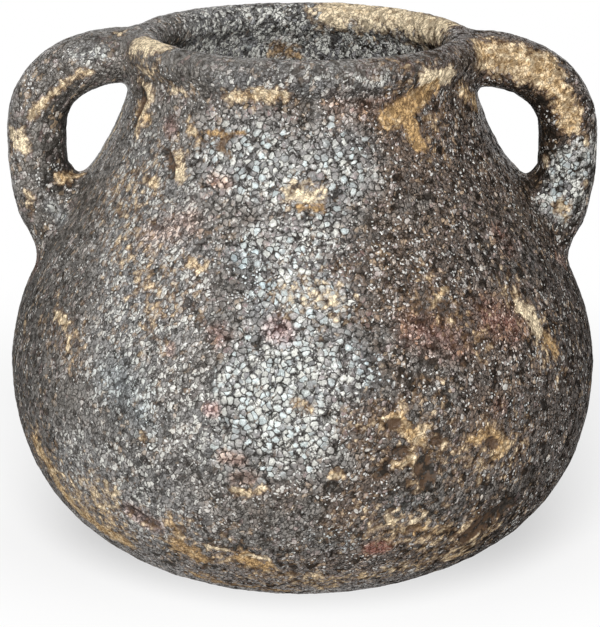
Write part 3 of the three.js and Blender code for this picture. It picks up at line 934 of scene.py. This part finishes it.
def glaze_material(slot, look):
    """Dark crater glaze with pale cells, worn clay, stains and dark pits, and painted glints, sheen and
    shade.
    """
    browner, level = SLOT_TONES[slot]
    material = bpy.data.materials.new(slot + "_looks")
    tree = empty_tree(material)

    def read(name, output="Fac"):
        return Wire.made(tree, "ShaderNodeAttribute", {"attribute_name": name}, {}, output)

    point = read("clay_point", "Vector")
    right, dull_and_painted_shade, silver_and_sheen = read("brown"), read("dull_and_painted_shade"), read("pale")
    tone = point.noise(TONE_SIZE)
    cloud = point.noise(CLOUD_SIZE)
    patchy = point.noise(PATCH_SIZE) - 0.5
    lumps = point.noise(SHADE_SIZE)
    flecks = point.noise(FLECK_SIZE, 4.0)
    flecky = flecks - 0.5
    grain = point.noise(GRAIN_SIZE, 2.0)

    # Coarse cells, fine cells, hollows, wrinkles and grit
    place = pebble_places(point, look)
    share = coarse_share(point, read("coarse"))
    far, coarse = place.cells(look.coarse_cell)
    coarse_dome = domes(far, coarse[1], 0.1, 0.8)
    brink = place.brinks(look.coarse_cell)
    coarse_top = brink.between(0.02, 0.12) * domes(far, coarse[1], 0.40, 0.64) * share
    crinkled = place.stirred(point, CRINKLE_SIZE, 2.0, 0.8 * look.fine_cell).drawn(FLOW_WAY, CELL_FLOW)
    far, fine = crinkled.cells(look.fine_cell)
    fine_dome = domes(far, fine[1], 0.1, 0.8)
    low = point.noise(HOLLOW_SIZE, 4.0) + (tone - 0.5) * 0.2 + (0.5 - right) * 0.06
    hollow = 1 - low.between(0.37, 0.475)
    fine_top = crinkled.brinks(look.fine_cell).between(0.0, 0.16) * (1 - 0.85 * hollow)
    crease = place.drawn(FLOW_WAY, WRINKLE_FLOW).noise(WRINKLE_SIZE, 4.0) - 0.5
    wrinkle = 1 - crease.size().between(0.004, 0.035)
    far, grit = place.cells(look.grit_size)
    grit_top = domes(far, grit[1], 0.34, 0.56)

    # Grey and brown glaze with stray plum and tan cells
    brown = (tone + patchy * 0.7 + (right - 0.5) * 0.5 + browner).between(0.34, 0.66)
    # Painted shade: the body is darker in the dull zones, at the jar's sides and inside below the neck; it
    # is darker at the lower right too
    depth = (1.9 * lumps + 1.1 * cloud - 0.5) * (1 - 0.5 * dull_and_painted_shade)
    # The slot's level darkens the rim, handles and wads, partly as painted shade
    body = brown.over(look.grey, look.brown).shaded(level * depth)
    plum = (fine[2] + patchy * 0.6).between(0.80, 0.92)
    body = (plum * 0.5).over(body, look.plum)
    tan = (fine[0] + patchy * 0.8).between(0.88, 0.97)
    body = (tan * 0.55).over(body, look.tan)

    # Haze where the glaze is pale or painted with sheen, dark seams round the fine cells, and fine cells
    # that shine: painted highlights
    hazy = (silver_and_sheen * 0.5).over(body, look.haze)
    uneven = (fine[0] - 0.5) * (0.55 + 0.45 * right)
    ground = hazy.shaded(0.99 + 0.09 * right + uneven + (grain - 0.5) * 0.7)
    cracked = (1 - fine_top) * (0.35 + 1.1 * lumps) * (0.7 + 0.5 * right)
    colour = cracked.over(ground, look.seam)
    shine = (fine[2] + silver_and_sheen * 0.6 + patchy * 0.8).between(0.82, 1.05)
    colour = (shine * fine_top * (0.6 + 0.25 * silver_and_sheen)).over(colour, look.warm_silver_and_sheen)
    colour = (wrinkle * 0.65).over(colour, look.seam)

    # Coarse cells, the pale ones like pebbles of silver: partly pale glaze, partly painted sheen
    cool = coarse[0].between(0.2, 0.8).over(look.silver_and_sheen, look.warm_silver_and_sheen)
    pale = (silver_and_sheen * 1.05 + (coarse[2] - 0.5) * 0.9 + patchy * 1.2).between(0.40, 0.98)
    pebble = pale.over(hazy.shaded(0.75 + 0.6 * coarse[0]), cool.shaded(0.64 + 0.42 * coarse[1]))
    brim = share * (1 - brink.between(0.03, 0.14))
    colour = (brim * 0.7).over(colour, look.seam)
    colour = coarse_top.over(colour, pebble.shaded(0.62 + 0.76 * grain))

    # Glints painted as bright specks of colour, standing in for highlights, and the calmer glaze on the rim
    glint = grit_top * (grit[0] + (tone - 0.5) * 0.4 + patchy * 0.6).between(0.86, 0.96)
    colour = (glint * 0.75).over(colour, look.glint)
    calm = read("calm") * (0.1 + 1.1 * cloud)
    colour = calm.over(colour, body.shaded(flecks + 0.35 * grain - 0.08))

    # Stains, pits, and painted shade in the groove under the rim in the pits' colour
    stain, hue = read("stain"), read("hue")
    # The blue-grey tint also paints a bluish sheen on the left shoulder
    tint = (-hue).over(hue.over(look.plum_tint, look.rust_tint), look.cool_tint_and_sheen)
    colour = (stain + flecky * 0.5).between(0.1, 0.6).over(colour, colour.shaded(tint))
    rust = (stain + flecky * 0.9 + (fine[0] - 0.5) * 0.4).between(0.42, 0.8) * hue.between(-0.2, 0.1)
    rusty = hue.over(look.plum, look.rust).shaded(0.4 + 0.9 * fine_top)
    colour = (rust * (0.2 + 0.5 * stain.between(0.7, 1.2))).over(colour, rusty)
    dark = (read("dark") + flecky * 0.6).between(0.35, 0.7)
    colour = (dark * 0.85).over(colour, look.pit)

    # Worn clay in a darker crust
    bared = 0.9 * read("worn") + flecky * 1.5 + (fine[0] - 0.5) * 0.35 + patchy * 0.6
    crust = bared.between(0.22, 0.5)
    bare = bared.between(0.38, 0.86) * (1 - dark)
    fair = (read("fair") + flecky * 1.4 + (grain - 0.5) * 0.5).between(0.15, 0.85)
    clay = fair.over(look.ochre, look.cream)
    clay = clay.shaded((0.4 + 0.6 * grain + 0.45 * fine_top) * (0.5 + 0.5 * lumps + 0.5 * flecks))
    clay = (1 - 0.6 * wrinkle * (1 - fair)).over(look.crust, clay)
    colour = (crust * 0.55).over(colour, look.crust)
    colour = (bare * (0.6 + 0.36 * fine_top)).over(colour, clay)

    # Bare foot
    wiped = read("bare")
    foot = (wiped + flecky * 0.8 + patchy * 0.5).between(0.3, 0.5) * wiped.between(0.0, 0.15)
    sole = (0.35 + 0.65 * lumps.between(0.35, 0.6)).over(look.crust, look.clay)
    sole = sole.shaded(0.5 + 0.55 * flecks + 0.5 * grain)
    colour = foot.over(colour, sole).shaded(0.82 + 0.36 * grain)

    # A matt and a glassy surface, of which the glassy one lies on the tops of cells
    tops = fine_top * (1 - coarse_top) + coarse_top
    rough = 0.34 - 0.16 * tops + 0.35 * bare + 0.1 * grain
    wet = tops * (1 - 0.85 * bare) * (1 - 0.6 * dark) * (1 - foot) * (1 - 0.75 * dull_and_painted_shade)
    height = 0.6 * fine_dome + (0.3 + 0.7 * share) * coarse_dome + 0.2 * grit_top + 0.2 * grain
    height = height + 0.7 * flecks + 1.6 * lumps - 1.2 * hollow - 0.6 * wrinkle
    height = height * (1 - 0.6 * dark)
    bump = {"Strength": look.bump, "Distance": look.bump_depth, "Height": height}
    skin = {"Base Color": colour, "Normal": Wire.made(tree, "ShaderNodeBump", {}, bump)}
    matt, glass = (
        Wire.made(
            tree,
            "ShaderNodeBsdfPrincipled",
            {},
            {**skin, "Roughness": roughness, "Specular IOR Level": mirrors},
        )
        for roughness, mirrors in ((0.9 + 0.1 * grain, 0.0), (rough, look.gloss))
    )
    show(tree, "ShaderNodeOutputMaterial", wet, matt, glass)
    return material


def glaze_zones(points, facing, form):
    """Where the glaze is browner, duller and darker with painted shade, calmer or wiped off."""
    height = points[:, 2]
    around = np.hypot(points[:, 0], points[:, 1])
    turn = np.arctan2(points[:, 0], -points[:, 1])
    # Painted shade: the sides and the inside below the neck are darker and duller; the lower right is
    # darker and duller too
    sides = smooth(np.abs(np.sin(turn)), *DULL_AND_SHADE_SIDE_TURNS) * (1 - smooth(height, *DULL_AND_SHADE_SIDE_HEIGHTS))
    right = DULL_RIGHT * smooth(np.sin(turn), *DULL_RIGHT_TURNS) * (1 - smooth(height, *DULL_RIGHT_HEIGHTS))
    inward = (facing[:, :2] * points[:, :2]).sum(1) < 0
    within = inward * (1 - smooth(height, form.neck_height - DULL_AND_SHADE_BELOW_NECK, form.neck_height))
    crown = smooth(around, *(form.neck_radius - depth for depth in CALM_WITHIN_NECK))
    low = 1 - smooth(height, *BROWN_HEIGHTS)
    return {
        "brown": 0.5 + 0.5 * np.sin(turn - BROWN_TURN) + 0.4 * low,
        "dull_and_painted_shade": np.maximum.reduce([sides, within, right]),
        "calm": smooth(height, *(form.neck_height + rise for rise in CALM_ABOVE_NECK)) * crown,
        "bare": (height < BARE_HEIGHT) * smooth(form.foot_radius - around, 0, BARE_EDGE),
    }


def marked_mesh(name, form, points, facing, free, faces):
    """A piece's mesh with its pits, its lean and the values that the glaze reads."""
    marks = Marks(Outline(form))
    free = free * smooth(points[:, 2], *FREE_HEIGHTS)
    move, dark = marks.relief(points)
    # Painted shade: the groove under the rim roll is darkened, in the pits' colour
    outer = np.hypot(points[:, 0], points[:, 1]) > form.neck_radius - form.groove_depth
    above = (points[:, 2] - form.neck_height) / (GROOVE_SPREAD * form.groove_width)
    groove = np.exp(-(above**2)) * outer
    worn, fair = marks.strongest(points, marks.worn)
    stain, hue = marks.strongest(points, marks.stains)
    values = {
        "free": free,
        "worn": worn,
        "fair": fair,
        "stain": stain,
        "hue": hue,
        "dark": np.maximum(dark, GROOVE_SHADE * groove),
        "pale": marks.summed(points, marks.pale),
        "coarse": marks.summed(points, marks.coarse),
        **glaze_zones(points, facing, form),
    }
    mesh = bpy.data.meshes.new(name)
    mesh.from_pydata(waver(points + facing * (move * free)[:, None], form).tolist(), [], faces)
    mesh.update()
    for label, value in values.items():
        mesh.attributes.new(label, "FLOAT", "POINT").data.foreach_set("value", value.astype(np.float32))
    for label, value in (("clay_point", points), ("clay_facing", facing)):
        attribute = mesh.attributes.new(label, "FLOAT_VECTOR", "POINT")
        attribute.data.foreach_set("vector", value.astype(np.float32).ravel())
    return mesh


def raise_piece(context, node, slot, points, facing, free, faces):
    """Makes one piece of the jar from its plain skin, roughens it and puts it in place of its CAD node."""
    form, look = context.scene.jar_form, context.scene.jar_glaze
    name = node + "_looks"
    mesh = marked_mesh(name, form, points, facing, free, faces)
    piece = bpy.data.objects.new(name, mesh)
    context.scene.collection.objects.link(piece)
    relief = piece.modifiers.new("relief", "NODES")
    relief.node_group = bpy.data.node_groups.get("glaze_relief") or relief_tree(look)
    context.view_layer.update()
    graph = context.evaluated_depsgraph_get()
    ready = piece.evaluated_get(graph)
    piece.data = bpy.data.meshes.new_from_object(ready, preserve_all_data_layers=True, depsgraph=graph)
    piece.modifiers.clear()
    piece.data.name = name
    bpy.data.meshes.remove(mesh)
    piece.data.shade_smooth()
    piece.data.set_sharp_from_angle(angle=SHARP_EDGE)
    material = bpy.data.materials.get(slot + "_looks") or glaze_material(slot, look)
    piece.data.materials.clear()
    piece.data.materials.append(material)
    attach(piece, "root")
    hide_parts(node)


def raise_turned(context, node, slot, outline, spans, closed=True):
    """Makes a piece that is turned from spans of the outline. One that isn't closed gets two caps."""
    points, facing, free, rings = turned(outline, spans)
    raise_piece(context, node, slot, points, facing, free, skin_faces(rings, TURNS, closed))


def raise_pair(context, name, slot, points, facing, free, faces):
    """Makes a piece on the right of the jar and the same one, turned half round, on its left."""
    for side, word in ((1, "right"), (-1, "left")):
        turn = (side, side, 1)
        raise_piece(context, f"{word}_{name}", slot, points * turn, facing * turn, free, faces)


def raise_wads(context, name, wad):
    """Makes the wads at one end of both handles."""
    form = context.scene.jar_form
    line = Outline(form)
    points, facing, free = luting_wad(line, HandleBar(context.scene.jar_handles, form, line), wad)
    faces = skin_faces(2 * WAD_RINGS, WAD_SIDES, True, flipped=wad["low"])
    raise_pair(context, name, "luting_glaze", points, facing, free, faces)


def box_side(node, axis, end):
    """Where a CAD node's box ends along an axis: end 0 is the low one and 1 the high one."""
    return round(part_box(node)[end][axis], 6)


def setting(name, description, default, **kind):
    """A number, or three of them, that a user can change."""
    make = bpy.props.FloatVectorProperty if hasattr(default, "__len__") else bpy.props.FloatProperty
    return make(name=name, description=description, default=default, **kind)


def length(name, description, metres):
    return setting(name, description, metres, unit="LENGTH", subtype="DISTANCE", precision=5)


def angle_of(name, description, degrees):
    return setting(name, description, math.radians(degrees), unit="ROTATION", subtype="ANGLE")


def place_of(name, description, *metres):
    return setting(name, description, metres, subtype="TRANSLATION")


def power_of(name, description, watts):
    return setting(name, description, watts, unit="POWER")


def number(name, description, *values):
    return setting(name, description, values if len(values) > 1 else values[0], precision=4)


def colour_of(name, description, *screen):
    return setting(name, description, linear(*screen), subtype="COLOR", min=0, max=1)


class JarForm(bpy.types.PropertyGroup):
    """Sizes of the thrown body and the rim."""

    foot_radius: length("Foot", "Radius of the flat foot", 39 * MM)
    foot_flare: angle_of("Flare", "How steeply the outside leaves the foot", 14.5)
    foot_sweep: length("Sweep", "Length of the curve's pull at the foot", 52 * MM)
    belly_radius: length("Belly", "Widest radius", box_side("lower_bowl", 0, 1))
    belly_height: length("Belly height", "Height of the widest place", box_side("shoulder_wall", 2, 0))
    belly_pull_below: length("Pull below", "How long the outside stays upright below the belly", 25 * MM)
    belly_pull_above: length("Pull above", "How long it stays upright above the belly", 38 * MM)
    neck_radius: length("Neck", "Radius of the neck", NECK_RADIUS)
    neck_height: length("Neck height", "Height at which the rim sits", box_side("shoulder_wall", 2, 1))
    neck_pull: length("Neck pull", "How long the outside stays upright below the neck", 28 * MM)
    wall: length("Wall", "Thickness of the thrown wall", 7 * MM)
    floor: length("Floor", "Thickness of the base", box_side("base_slab", 2, 1))
    rim_radius: length("Rim roll", "Radius of the coil that makes the rim", 5.8 * MM)
    rim_inset: length("Rim inset", "Middle of the coil inside the outside of the neck", 3.8 * MM)
    rim_crest: length("Rim crest", "Height of the rim", box_side("rim_roll", 2, 1))
    groove_width: length("Groove width", "How far below the coil the groove begins", 5.5 * MM)
    groove_depth: length("Groove depth", "How far the groove is pressed in", 1.1 * MM)
    groove_angle: angle_of("Groove angle", "Where the groove ends on the coil", 28)
    lean: angle_of("Lean", "How far the top leans to the right", 0.5)
    unevenness: length("Unevenness", "How far the wall strays from a true circle", 0.35 * MM)


class JarHandles(bpy.types.PropertyGroup):
    """Sizes of the pulled handles."""

    reach: length("Reach", "From neck to outermost point", box_side("right_handle", 0, 1) - NECK_RADIUS)
    thickness: length("Thickness", "In the plane of the loop", 19 * MM)
    root_thickness: length("Root thickness", "The same, where the top end is pressed on", 17 * MM)
    swell: length("Swell", "Length over which the top end grows to full thickness", 40 * MM)
    width: length("Width", "Across the plane of the loop", box_side("right_handle", 1, 1) * 2)
    top_root_drop: length("Top end", "Middle of the top end below the crest", 9 * MM)
    bulge_drop: length("Bulge", "Outermost point below the crest", 34 * MM)
    low_root_drop: length("Low end", "Middle of the low end below the crest", 65.6 * MM)
    top_root_angle: angle_of("Top angle", "Direction in which the handle leaves the rim", 5)
    low_root_angle: angle_of("Low angle", "Direction in which it enters the shoulder", 221)
    top_root_pull: length("Top pull", "How long the handle keeps its direction at the rim", 21 * MM)
    bulge_pull_above: length("Pull above bulge", "How long it stays upright above the bulge", 16 * MM)
    bulge_pull_below: length("Pull below bulge", "How long it stays upright below the bulge", 14 * MM)
    low_root_pull: length("Low pull", "How long it keeps its direction at the shoulder", 11 * MM)
    root_depth: length("Root depth", "How far the ends lie under the outside", 3.2 * MM)
    squareness: number("Squareness", "Shape of the section: 1 is an oval, less is nearer to a strap", 0.8)
    upper_fillet: length("Upper fillet", "How wide the upper luting is smeared to the sides", 13 * MM)
    lower_fillet: length("Lower fillet", "How wide the lower luting is smeared to the sides", 10 * MM)


class JarGlaze(bpy.types.PropertyGroup):
    """Colours and grain of the glaze."""

    coarse_cell: length("Coarse cells", "Size of the cells in the pale patches", 2.1 * MM)
    fine_cell: length("Fine cells", "Size of the cells elsewhere", 1.25 * MM)
    grit_size: length("Grit", "Spacing of the finest grains and bright specks", 0.75 * MM)
    coarse_height: length("Coarse relief", "How far a coarse cell stands up", 0.34 * MM)
    lump_size: length("Lumps", "Size of the glaze's lumps", 9 * MM)
    lump_height: length("Lump height", "How far a lump stands up", 0.55 * MM)
    gloss: number("Gloss", "How strongly the glaze mirrors", 0.7)
    bump: number("Bump", "Strength of the finest grain", 0.75)
    bump_depth: length("Bump depth", "Depth of the finest grain", 0.5 * MM)
    grey: colour_of("Grey glaze", "Grey parts of the glaze", 121, 116, 110)
    brown: colour_of("Brown glaze", "Brown parts of the glaze", 87, 71, 58)
    plum: colour_of("Plum", "Plum-coloured cells", 128, 98, 96)
    seam: colour_of("Seams", "Dark lines between the cells", 31, 27, 23)
    # Silver, warm silver, haze and glint colour the pale glaze, its painted sheen and painted highlights
    silver_and_sheen: colour_of("Silver", "Pale cells", 206, 217, 217)
    warm_silver_and_sheen: colour_of("Warm silver", "Pale cells with a warm tint", 214, 214, 206)
    glint: colour_of("Glint", "Bright specks", 228, 228, 224)
    haze: colour_of("Haze", "Thin pale glaze between the pale cells", 150, 153, 157)
    rust: colour_of("Rust", "Rust spots", 116, 66, 52)
    rust_tint: number("Rust tint", "What a rust stain does to the glaze's colour", 1.27, 0.98, 0.83)
    # The blue-grey tint also paints a bluish sheen on the left shoulder
    cool_tint_and_sheen: number("Cool tint", "What a blue-grey stain does to the glaze's colour", 0.93, 1.02, 1.08)
    plum_tint: number("Plum tint", "What a plum stain does to the glaze's colour", 1.24, 1.0, 1.03)
    # The pits' colour also paints the shade in the groove under the rim
    pit: colour_of("Pits", "Floors of pits and scars", 45, 41, 37)
    ochre: colour_of("Ochre", "Worn clay", 178, 146, 102)
    cream: colour_of("Cream", "Palest worn clay", 232, 214, 182)
    tan: colour_of("Tan", "Stray grains of worn clay", 158, 136, 110)
    crust: colour_of("Crust", "Edges of worn places", 98, 74, 54)
    clay: colour_of("Clay", "Bare clay of the foot", 164, 126, 92)


class JarStage(bpy.types.PropertyGroup):
    """Camera, light and floor."""

    eye: place_of("Camera", "Place of the camera", 0, -0.7649, 0.3185)
    aim: place_of("Aim", "What the camera looks at", 0, 0, 0.08404)
    lens: number("Lens", "Focal length in millimetres", 135.54)
    sideways: number("Sideways", "Sideways shift of the picture", -0.004)
    key: power_of("Key light", "Power of the large front light", 32.0)
    top: power_of("Top light", "Power of the overhead light", 9.0)
    room: number("Room light", "Level of the light from all round", 0.12)
    floor: colour_of("Floor", "Colour of the floor", 247, 247, 247)


class JAR_OT_base(bpy.types.Operator):
    """Base slab, with bare clay underneath and glaze over its edge"""

    bl_idname = "jar.base"
    bl_label = "Base slab"

    def execute(self, context):
        form = context.scene.jar_form
        line = Outline(form)
        foot = form.foot_radius
        spans = (
            (0.5 * MM, foot - 0.2 * MM, HIDDEN_STEP, 0.0),
            (foot, foot + 3 * MM, OUTSIDE_STEP, FOOT_EDGE_FREEDOM),
            (foot + 4 * MM, line.outside_at(form.floor), OUTSIDE_STEP, 1.0),
            (line.inside_at(form.floor + HAIR), line.end - 0.5 * MM, HIDDEN_STEP, INSIDE_FREEDOM),
        )
        raise_turned(context, "base_slab", "bare_clay", line, spans, closed=False)
        return {"FINISHED"}


class JAR_OT_bowl(bpy.types.Operator):
    """Thrown bowl, from the base to the belly"""

    bl_idname = "jar.bowl"
    bl_label = "Lower bowl"

    def execute(self, context):
        form = context.scene.jar_form
        line = Outline(form)
        low, high = form.floor, form.belly_height
        spans = (
            (line.outside_at(low), line.outside_at(high), OUTSIDE_STEP, 1.0),
            (line.inside_at(high), line.inside_at(low + HAIR), INSIDE_STEP, INSIDE_FREEDOM),
        )
        raise_turned(context, "lower_bowl", "crater_glaze", line, spans)
        return {"FINISHED"}


class JAR_OT_shoulder(bpy.types.Operator):
    """Thrown shoulder and neck, from the belly to the groove under the rim"""

    bl_idname = "jar.shoulder"
    bl_label = "Shoulder wall"

    def execute(self, context):
        form = context.scene.jar_form
        line = Outline(form)
        low, high = form.belly_height, form.neck_height
        spans = (
            (line.outside_at(low), line.outside_at(high), OUTSIDE_STEP, 1.0),
            (line.inside_at(high), line.inside_at(low), INSIDE_STEP, INSIDE_FREEDOM),
        )
        raise_turned(context, "shoulder_wall", "crater_glaze", line, spans)
        return {"FINISHED"}


class JAR_OT_rim(bpy.types.Operator):
    """Rolled rim"""

    bl_idname = "jar.rim"
    bl_label = "Rim roll"

    def execute(self, context):
        low = context.scene.jar_form.neck_height
        line = Outline(context.scene.jar_form)
        spans = ((line.outside_at(low), line.inside_at(low), RIM_STEP, 1.0),)
        raise_turned(context, "rim_roll", "rim_glaze", line, spans)
        return {"FINISHED"}


class JAR_OT_handles(bpy.types.Operator):
    """Two pulled loop handles"""

    bl_idname = "jar.handles"
    bl_label = "Handles"

    def execute(self, context):
        form = context.scene.jar_form
        handle = HandleBar(context.scene.jar_handles, form, Outline(form))
        distance = np.repeat(np.linspace(0, handle.end, HANDLE_RINGS), HANDLE_SIDES)
        angle = np.tile(np.linspace(0, 2 * math.pi, HANDLE_SIDES, endpoint=False), HANDLE_RINGS)
        points = handle.skin(distance, angle)
        facing = handle.skin_facing(distance, angle, points)
        faces = skin_faces(HANDLE_RINGS, HANDLE_SIDES, False, flipped=True)
        raise_pair(context, "handle", "handle_glaze", points, facing, np.ones(len(points)), faces)
        return {"FINISHED"}


class JAR_OT_upper_lutings(bpy.types.Operator):
    """Wads of clay that bond the handles' top ends to rim and neck"""

    bl_idname = "jar.upper_lutings"
    bl_label = "Upper lutings"

    def execute(self, context):
        form, bar = context.scene.jar_form, context.scene.jar_handles
        line = Outline(form)
        middle = line.outside_at(form.rim_crest - bar.top_root_drop)
        wad = {
            "low": False,
            "climb_out": 12 * MM,
            "climb_in": 24 * MM,
            "middle": middle,
            "up": line.crest - middle,
            "down": 24 * MM,
            "side": 27 * MM,
            "fillet_out": 2.5 * MM,
            "fillet_in": 0.3 * bar.upper_fillet,
            "fillet_side": bar.upper_fillet,
            "turnover": (-7 * MM, 3 * MM),
        }
        raise_wads(context, "upper_luting", wad)
        return {"FINISHED"}


class JAR_OT_lower_lutings(bpy.types.Operator):
    """Wads of clay that bond the handles' low ends to the shoulder"""

    bl_idname = "jar.lower_lutings"
    bl_label = "Lower lutings"

    def execute(self, context):
        form, bar = context.scene.jar_form, context.scene.jar_handles
        line = Outline(form)
        wad = {
            "low": True,
            "climb_out": 15 * MM,
            "climb_in": 26 * MM,
            "middle": line.outside_at(form.rim_crest - bar.low_root_drop + 2 * MM),
            "up": 30 * MM,
            "down": 20 * MM,
            "side": 26 * MM,
            "fillet_out": 0.8 * bar.lower_fillet,
            "fillet_in": 1.1 * bar.lower_fillet,
            "fillet_side": bar.lower_fillet,
            "turnover": (-4 * MM, 8 * MM),
        }
        raise_wads(context, "lower_luting", wad)
        return {"FINISHED"}


def seen_share(tree):
    """1 for what the camera sees, also in a mirror or through glass, and 0 for light on other things."""
    camera = Wire.made(tree, "ShaderNodeLightPath", {}, {}, "Is Camera Ray")
    return camera + camera.also("Is Glossy Ray") + camera.also("Is Transmission Ray")


def floor_material(stage):
    """Pale floor that turns to pure white away from the jar. Near the jar it glows whiter in front than
    behind: painted light that fades the jar's shadow in front.
    """
    material = bpy.data.materials.new("floor")
    tree = empty_tree(material)
    matt = {"Base Color": (*stage.floor, 1), "Roughness": 0.9, "Specular IOR Level": 0.0}
    paper = Wire.made(tree, "ShaderNodeBsdfPrincipled", {}, matt)
    place = Wire.made(tree, "ShaderNodeNewGeometry", {}, {}, "Position")
    far = place.node("ShaderNodeVectorMath", {"operation": "LENGTH"}, {0: place}, "Value")
    far = far.between(*FLOOR_WHITE)
    # Painted light: the floor's front glows nearly white over the jar's shadow
    front = 1 - place.node("ShaderNodeSeparateXYZ", {}, {0: place}, "Y").between(*FLOOR_GLOW_FRONT)
    share = (0.58 + 0.39 * front) * (1 - far) + far
    white = Wire.made(tree, "ShaderNodeEmission", {}, {"Color": (1, 1, 1, 1), "Strength": 1.0})
    show(tree, "ShaderNodeOutputMaterial", seen_share(tree) * share, paper, white)
    return material


def light_room(scene, level):
    """Light from all round, and white behind everything the camera sees."""
    scene.world = bpy.data.worlds.new("room")
    tree = empty_tree(scene.world)
    around, white = (
        Wire.made(tree, "ShaderNodeBackground", {}, {"Color": (1, 1, 1, 1), "Strength": strength})
        for strength in (level, 1.0)
    )
    show(tree, "ShaderNodeOutputWorld", seen_share(tree), around, white)


def put(scene, name, data, place, aim):
    """Puts a lamp or a camera in its place and turns it to what it is aimed at."""
    thing = bpy.data.objects.new(name, data)
    thing.location = place
    thing.rotation_euler = (Vector(aim) - Vector(place)).to_track_quat("-Z", "Y").to_euler()
    scene.collection.objects.link(thing)
    return thing


class JAR_OT_stage(bpy.types.Operator):
    """White floor, soft light and camera"""

    bl_idname = "jar.stage"
    bl_label = "Stage"

    def execute(self, context):
        scene, stage = context.scene, context.scene.jar_stage
        mesh = bpy.data.meshes.new("floor")
        corners = [(x * FLOOR_HALF, y * FLOOR_HALF, 0) for x, y in ((-1, -1), (1, -1), (1, 1), (-1, 1))]
        mesh.from_pydata(corners, [], [(0, 1, 2, 3)])
        mesh.materials.append(floor_material(stage))
        floor = bpy.data.objects.new("floor", mesh)
        scene.collection.objects.link(floor)
        lights = (
            ("key_light", (-0.08, -1.37, 1.05), (0, 0, 0.09), 0.7, stage.key),
            ("top_light", (0.1, 0.25, 1.7), (0, 0, 0.0), 1.8, stage.top),
        )
        for name, place, aim, size, power in lights:
            light = bpy.data.lights.new(name, "AREA")
            light.shape = "DISK"
            light.size = size
            light.energy = power
            put(scene, name, light, place, aim)
        light_room(scene, stage.room)
        lens = bpy.data.cameras.new("camera")
        lens.lens = stage.lens
        lens.shift_x = stage.sideways
        lens.clip_end = 30
        scene.camera = put(scene, "camera", lens, stage.eye, stage.aim)
        scene.view_settings.view_transform = "Standard"
        return {"FINISHED"}


class JAR_PT_panel(bpy.types.Panel):
    """Builders and settings of the jar"""

    bl_idname = "JAR_PT_panel"
    bl_label = "Handled Jar"
    bl_space_type = "VIEW_3D"
    bl_region_type = "UI"
    bl_category = "Jar"

    def draw(self, context):
        for operator in OPERATORS:
            self.layout.operator(operator.bl_idname)
        for group, settings in GROUPS.items():
            box = self.layout.box()
            box.label(text=group.__doc__)
            for name in group.__annotations__:
                box.prop(getattr(context.scene, settings), name)


GROUPS = {JarForm: "jar_form", JarHandles: "jar_handles", JarGlaze: "jar_glaze", JarStage: "jar_stage"}
OPERATORS = (
    JAR_OT_base,
    JAR_OT_bowl,
    JAR_OT_shoulder,
    JAR_OT_rim,
    JAR_OT_handles,
    JAR_OT_upper_lutings,
    JAR_OT_lower_lutings,
    JAR_OT_stage,
)


def register():
    for group, name in GROUPS.items():
        bpy.utils.register_class(group)
        setattr(bpy.types.Scene, name, bpy.props.PointerProperty(type=group))
    for cls in (*OPERATORS, JAR_PT_panel):
        bpy.utils.register_class(cls)


def unregister():
    for cls in (JAR_PT_panel, *reversed(OPERATORS)):
        bpy.utils.unregister_class(cls)
    for group, name in GROUPS.items():
        delattr(bpy.types.Scene, name)
        bpy.utils.unregister_class(group)


def main():
    register()
    for operator in OPERATORS:
        group, name = operator.bl_idname.split(".")
        getattr(getattr(bpy.ops, group), name)()


if __name__ == "__main__":
    main()
